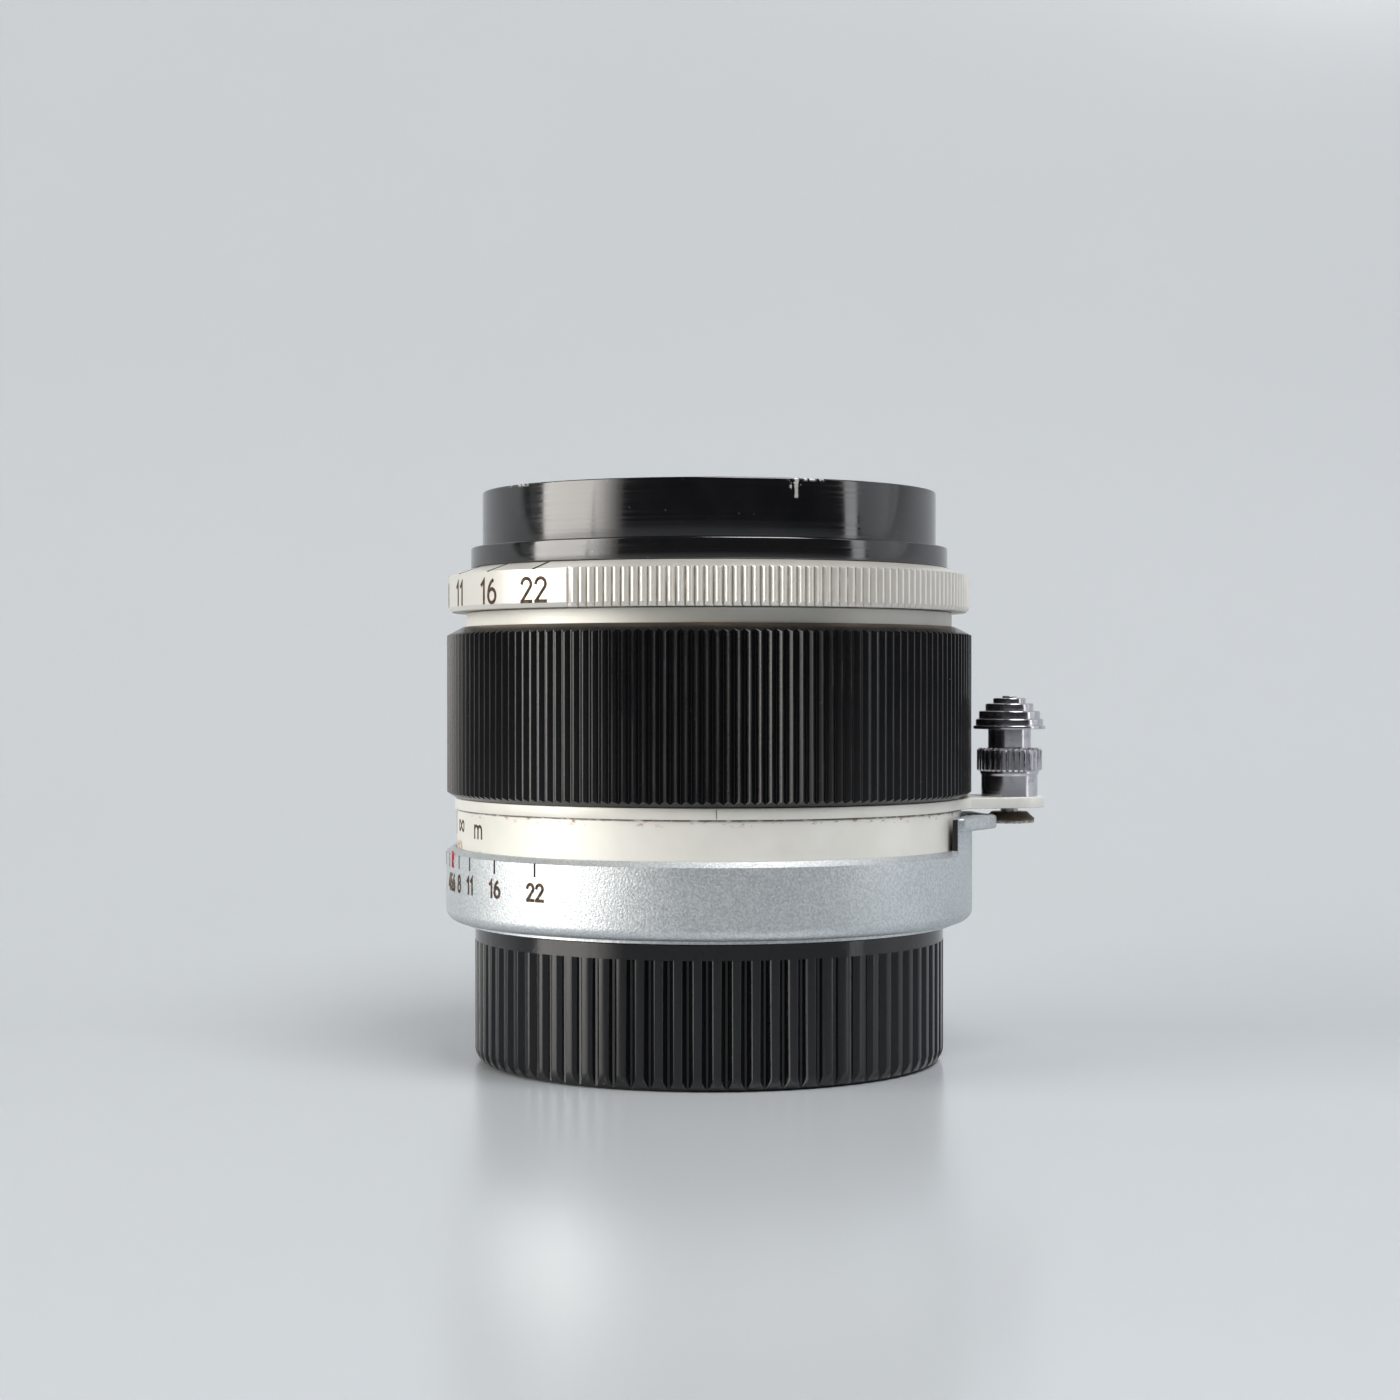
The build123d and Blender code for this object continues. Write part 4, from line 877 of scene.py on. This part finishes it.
def make_depth_ring():
    piece = turned("depth_scale", depth_outline, "mount", FINISHES["satin_chrome"], depth_columns())
    stands_for("depth_scale_ring")
    numbers, lines, highlight_strips, letter = bmesh.new(), bmesh.new(), bmesh.new(), bmesh.new()
    depth_marks(numbers, lines, highlight_strips)
    write(letter, "R", 1.2, 0.2, on_cylinder(BODY_R, INDEX + 11.5, 18.56))
    closed_object("depth_numbers", numbers, "mount", BROWN_PAINT)
    closed_object("depth_lines", lines, "mount", BLACK_PAINT)
    # The painted highlight strips beside the depth lines.
    closed_object("depth_line_highlights", highlight_strips, "mount", PAINTED_HIGHLIGHT)
    closed_object("infrared_letter", letter, "mount", RED_PAINT)


def make_catch_arm():
    """The arm that the lock's disc catches behind, with a round cut that clears the disc's pin."""
    root = BODY_R - 0.45
    cut_r = 2.42
    arm = [polar(root, LUG_START), (22.4, -9.85), (25.5, -4.6), (25.8, -4.1), (25.95, -3.6)]
    arm += arc(cut_r, 229.2, 172, 12, LOCK_X)
    arm += [(25.0, 0.6), polar(24.9, LUG_END), polar(root, LUG_END)]
    arm += arc(root, LUG_END, LUG_START, 12)[1:-1]
    piece = plate("catch_arm", [arm], CATCH_LOW, LUG_TOP, 0.28, "mount", FINISHES["satin_chrome"])


# ---- rear cap ----
def cap_outline(rib):
    """One column's outline: recessed underside, rounded foot, rib, plain band, and thread inside."""
    rib_top, foot_r, foot, foot_steps = 11.07, 20.25, 1.35, 8
    band_r, recess_r, recess = CAP_R - 0.02, 15.5, 0.25
    floor, floor_r, bore, thread_low, crest = 1.8, 18.6, 19.1, 7.6, 19.55
    points = [(0, CAP_LOW + recess), (recess_r, CAP_LOW + recess), (recess_r, CAP_LOW), (foot_r, CAP_LOW)]
    for step in range(1, foot_steps + 1):
        across = foot_r + (rib - foot_r) * step / foot_steps
        share = (across - foot_r) / (CAP_R - foot_r)
        points.append((across, CAP_LOW + foot * (1 - (1 - min(share, 1) ** 2) ** 0.5)))
    points += [(rib, rib_top), (band_r, rib_top), (band_r, CAP_TOP - 0.15), (band_r - 0.15, CAP_TOP)]
    inside = [(bore, floor + 0.5), (bore, thread_low - 0.4), (crest, thread_low)]
    inside += thread(crest, crest + 0.5, thread_low, CAP_TOP - 0.2, 25.4 / 26)
    inside += [(crest, CAP_TOP)]
    return points + inside[::-1] + [(floor_r, floor), (0, floor)]


def make_rear_cap():
    ribs, depth, first = 81, 0.5, 0.45
    shape = [(-0.24, 0.16), (-0.2, 0.03), (-0.17, 0.0), (0.17, 0.0), (0.2, 0.03), (0.24, 0.16),
             (0.44, 1.0), (0.56, 1.0)]
    columns = rib_columns(CAP_R, depth, ribs, shape, first)
    piece = turned("ribbed_cap", cap_outline, "rear_cap", FINISHES["cap_black"], columns, smooth=28)
    stands_for("rear_cap")


make_filter_rim()
make_retainer()
make_collar()
make_aperture_ring()
make_grip()
make_distance_ring()
make_lock_plate()
make_lock_housing()
make_lock_button()
make_lock_spring()
make_lock_disc()
make_depth_ring()
make_catch_arm()
make_rear_cap()


# ---- stage ----
def stage_surface():
    """A pale glossy table that sweeps up behind the object, in metres."""
    made = Finish("stage_finish", Specular_IOR_Level=0.5)
    grain = made.noise(made.position(), 0.02, 2.0, 0.5)
    made.set(Base_Color=made.mix(grain, (0.45, 0.473, 0.49), (0.466, 0.489, 0.507)), Roughness=0.22)
    mesh = bmesh.new()
    front, rise_y, bend, wall_top, half_width, steps = -1.5, 0.02, 0.3, 1.6, 1.6, 20
    turns = [radians(90 * step / steps) for step in range(steps + 1)]
    reach = [(front, 0), (front / 3, 0)]
    reach += [(rise_y + bend * sin(turn), bend - bend * cos(turn)) for turn in turns]
    reach += [(rise_y + bend, wall_top)]
    rows = [[mesh.verts.new((side, y, z)) for side in (-half_width, half_width)] for y, z in reach]
    for row, following in zip(rows, rows[1:]):
        mesh.faces.new((row[0], row[1], following[1], following[0]))
    data = bpy.data.meshes.new("table_sweep")
    mesh.to_mesh(data)
    mesh.free()
    data.shade_smooth()
    data.materials.append(made.material)
    add_object("table_sweep", data)


def soft_light(name, around, up, distance, wide, high, power, colour):
    """An area light aimed at the object. around is a face angle, and the lengths are in metres."""
    data = bpy.data.lights.new(name, "AREA")
    data.shape = "RECTANGLE"
    data.size, data.size_y = wide, high
    data.energy = power
    data.color = colour
    light = add_object(name, data)
    target = Vector((0, 0, 0.03))
    place = Vector((distance * sin(radians(around)), -distance * cos(radians(around)), up))
    light.location = place
    light.rotation_mode = "QUATERNION"
    light.rotation_quaternion = (target - place).to_track_quat("-Z", "Y")


def make_world():
    """A pale room that darkens towards -Y, which is in front of the object."""
    world = bpy.data.worlds.new("studio")
    bpy.context.scene.world = world
    world.use_nodes = True
    tree = world.node_tree
    way = tree.nodes.new("ShaderNodeTexCoord")
    split = tree.nodes.new("ShaderNodeSeparateXYZ")
    shade = tree.nodes.new("ShaderNodeMapRange")
    shade.interpolation_type = "SMOOTHSTEP"
    tree.links.new(way.outputs["Generated"], split.inputs[0])
    tree.links.new(split.outputs[1], shade.inputs["Value"])
    for end, value in {"From Min": -0.35, "From Max": 0.65, "To Min": 0.035, "To Max": 0.56}.items():
        shade.inputs[end].default_value = value
    background = tree.nodes["Background"]
    background.inputs["Color"].default_value = (0.93, 0.97, 1.0, 1)
    tree.links.new(shade.outputs[0], background.inputs["Strength"])


def make_camera():
    """A short telephoto view from just above the lens's middle."""
    aside, distance, eye_height, tilt = -0.84, 233.6, 34.33, 0.4
    data = bpy.data.cameras.new("camera")
    data.sensor_width = 36
    data.lens = 65.5
    data.clip_start = 0.01
    data.clip_end = 20
    camera = add_object("camera", data)
    camera.location = (aside * MM, -distance * MM, eye_height * MM)
    camera.rotation_euler = (radians(90 - tilt), 0, 0)
    bpy.context.scene.camera = camera


def make_lights():
    warm = (1.0, 0.97, 0.92)
    soft_light("key_left", -74.5, 0.3, 1.0, 0.58, 0.9, 10.6, warm)
    fade_start, fade_step, fade_power = -56.8, 3, 0.96      # the key fades out on its right side
    for step, share in enumerate([0.85, 0.66, 0.46, 0.28, 0.12]):
        around = fade_start + fade_step * step
        soft_light(f"key_fade_{step}", around, 0.3, 1.0, 0.0525, 0.9, fade_power * share, warm)
    soft_light("strip_right", 73, 0.2, 0.5, 0.07, 0.5, 0.28, (0.97, 0.98, 1.0))
    soft_light("fill_right", 113.5, 0.3, 0.9, 1.33, 0.8, 2.2, (0.94, 0.97, 1.0))
    soft_light("top_front", 36, 0.75, 0.45, 0.5, 0.5, 7.6, (0.98, 0.98, 1.0))


stage_surface()
make_world()
make_lights()
make_camera()
bpy.context.scene.view_settings.view_transform = "Standard"
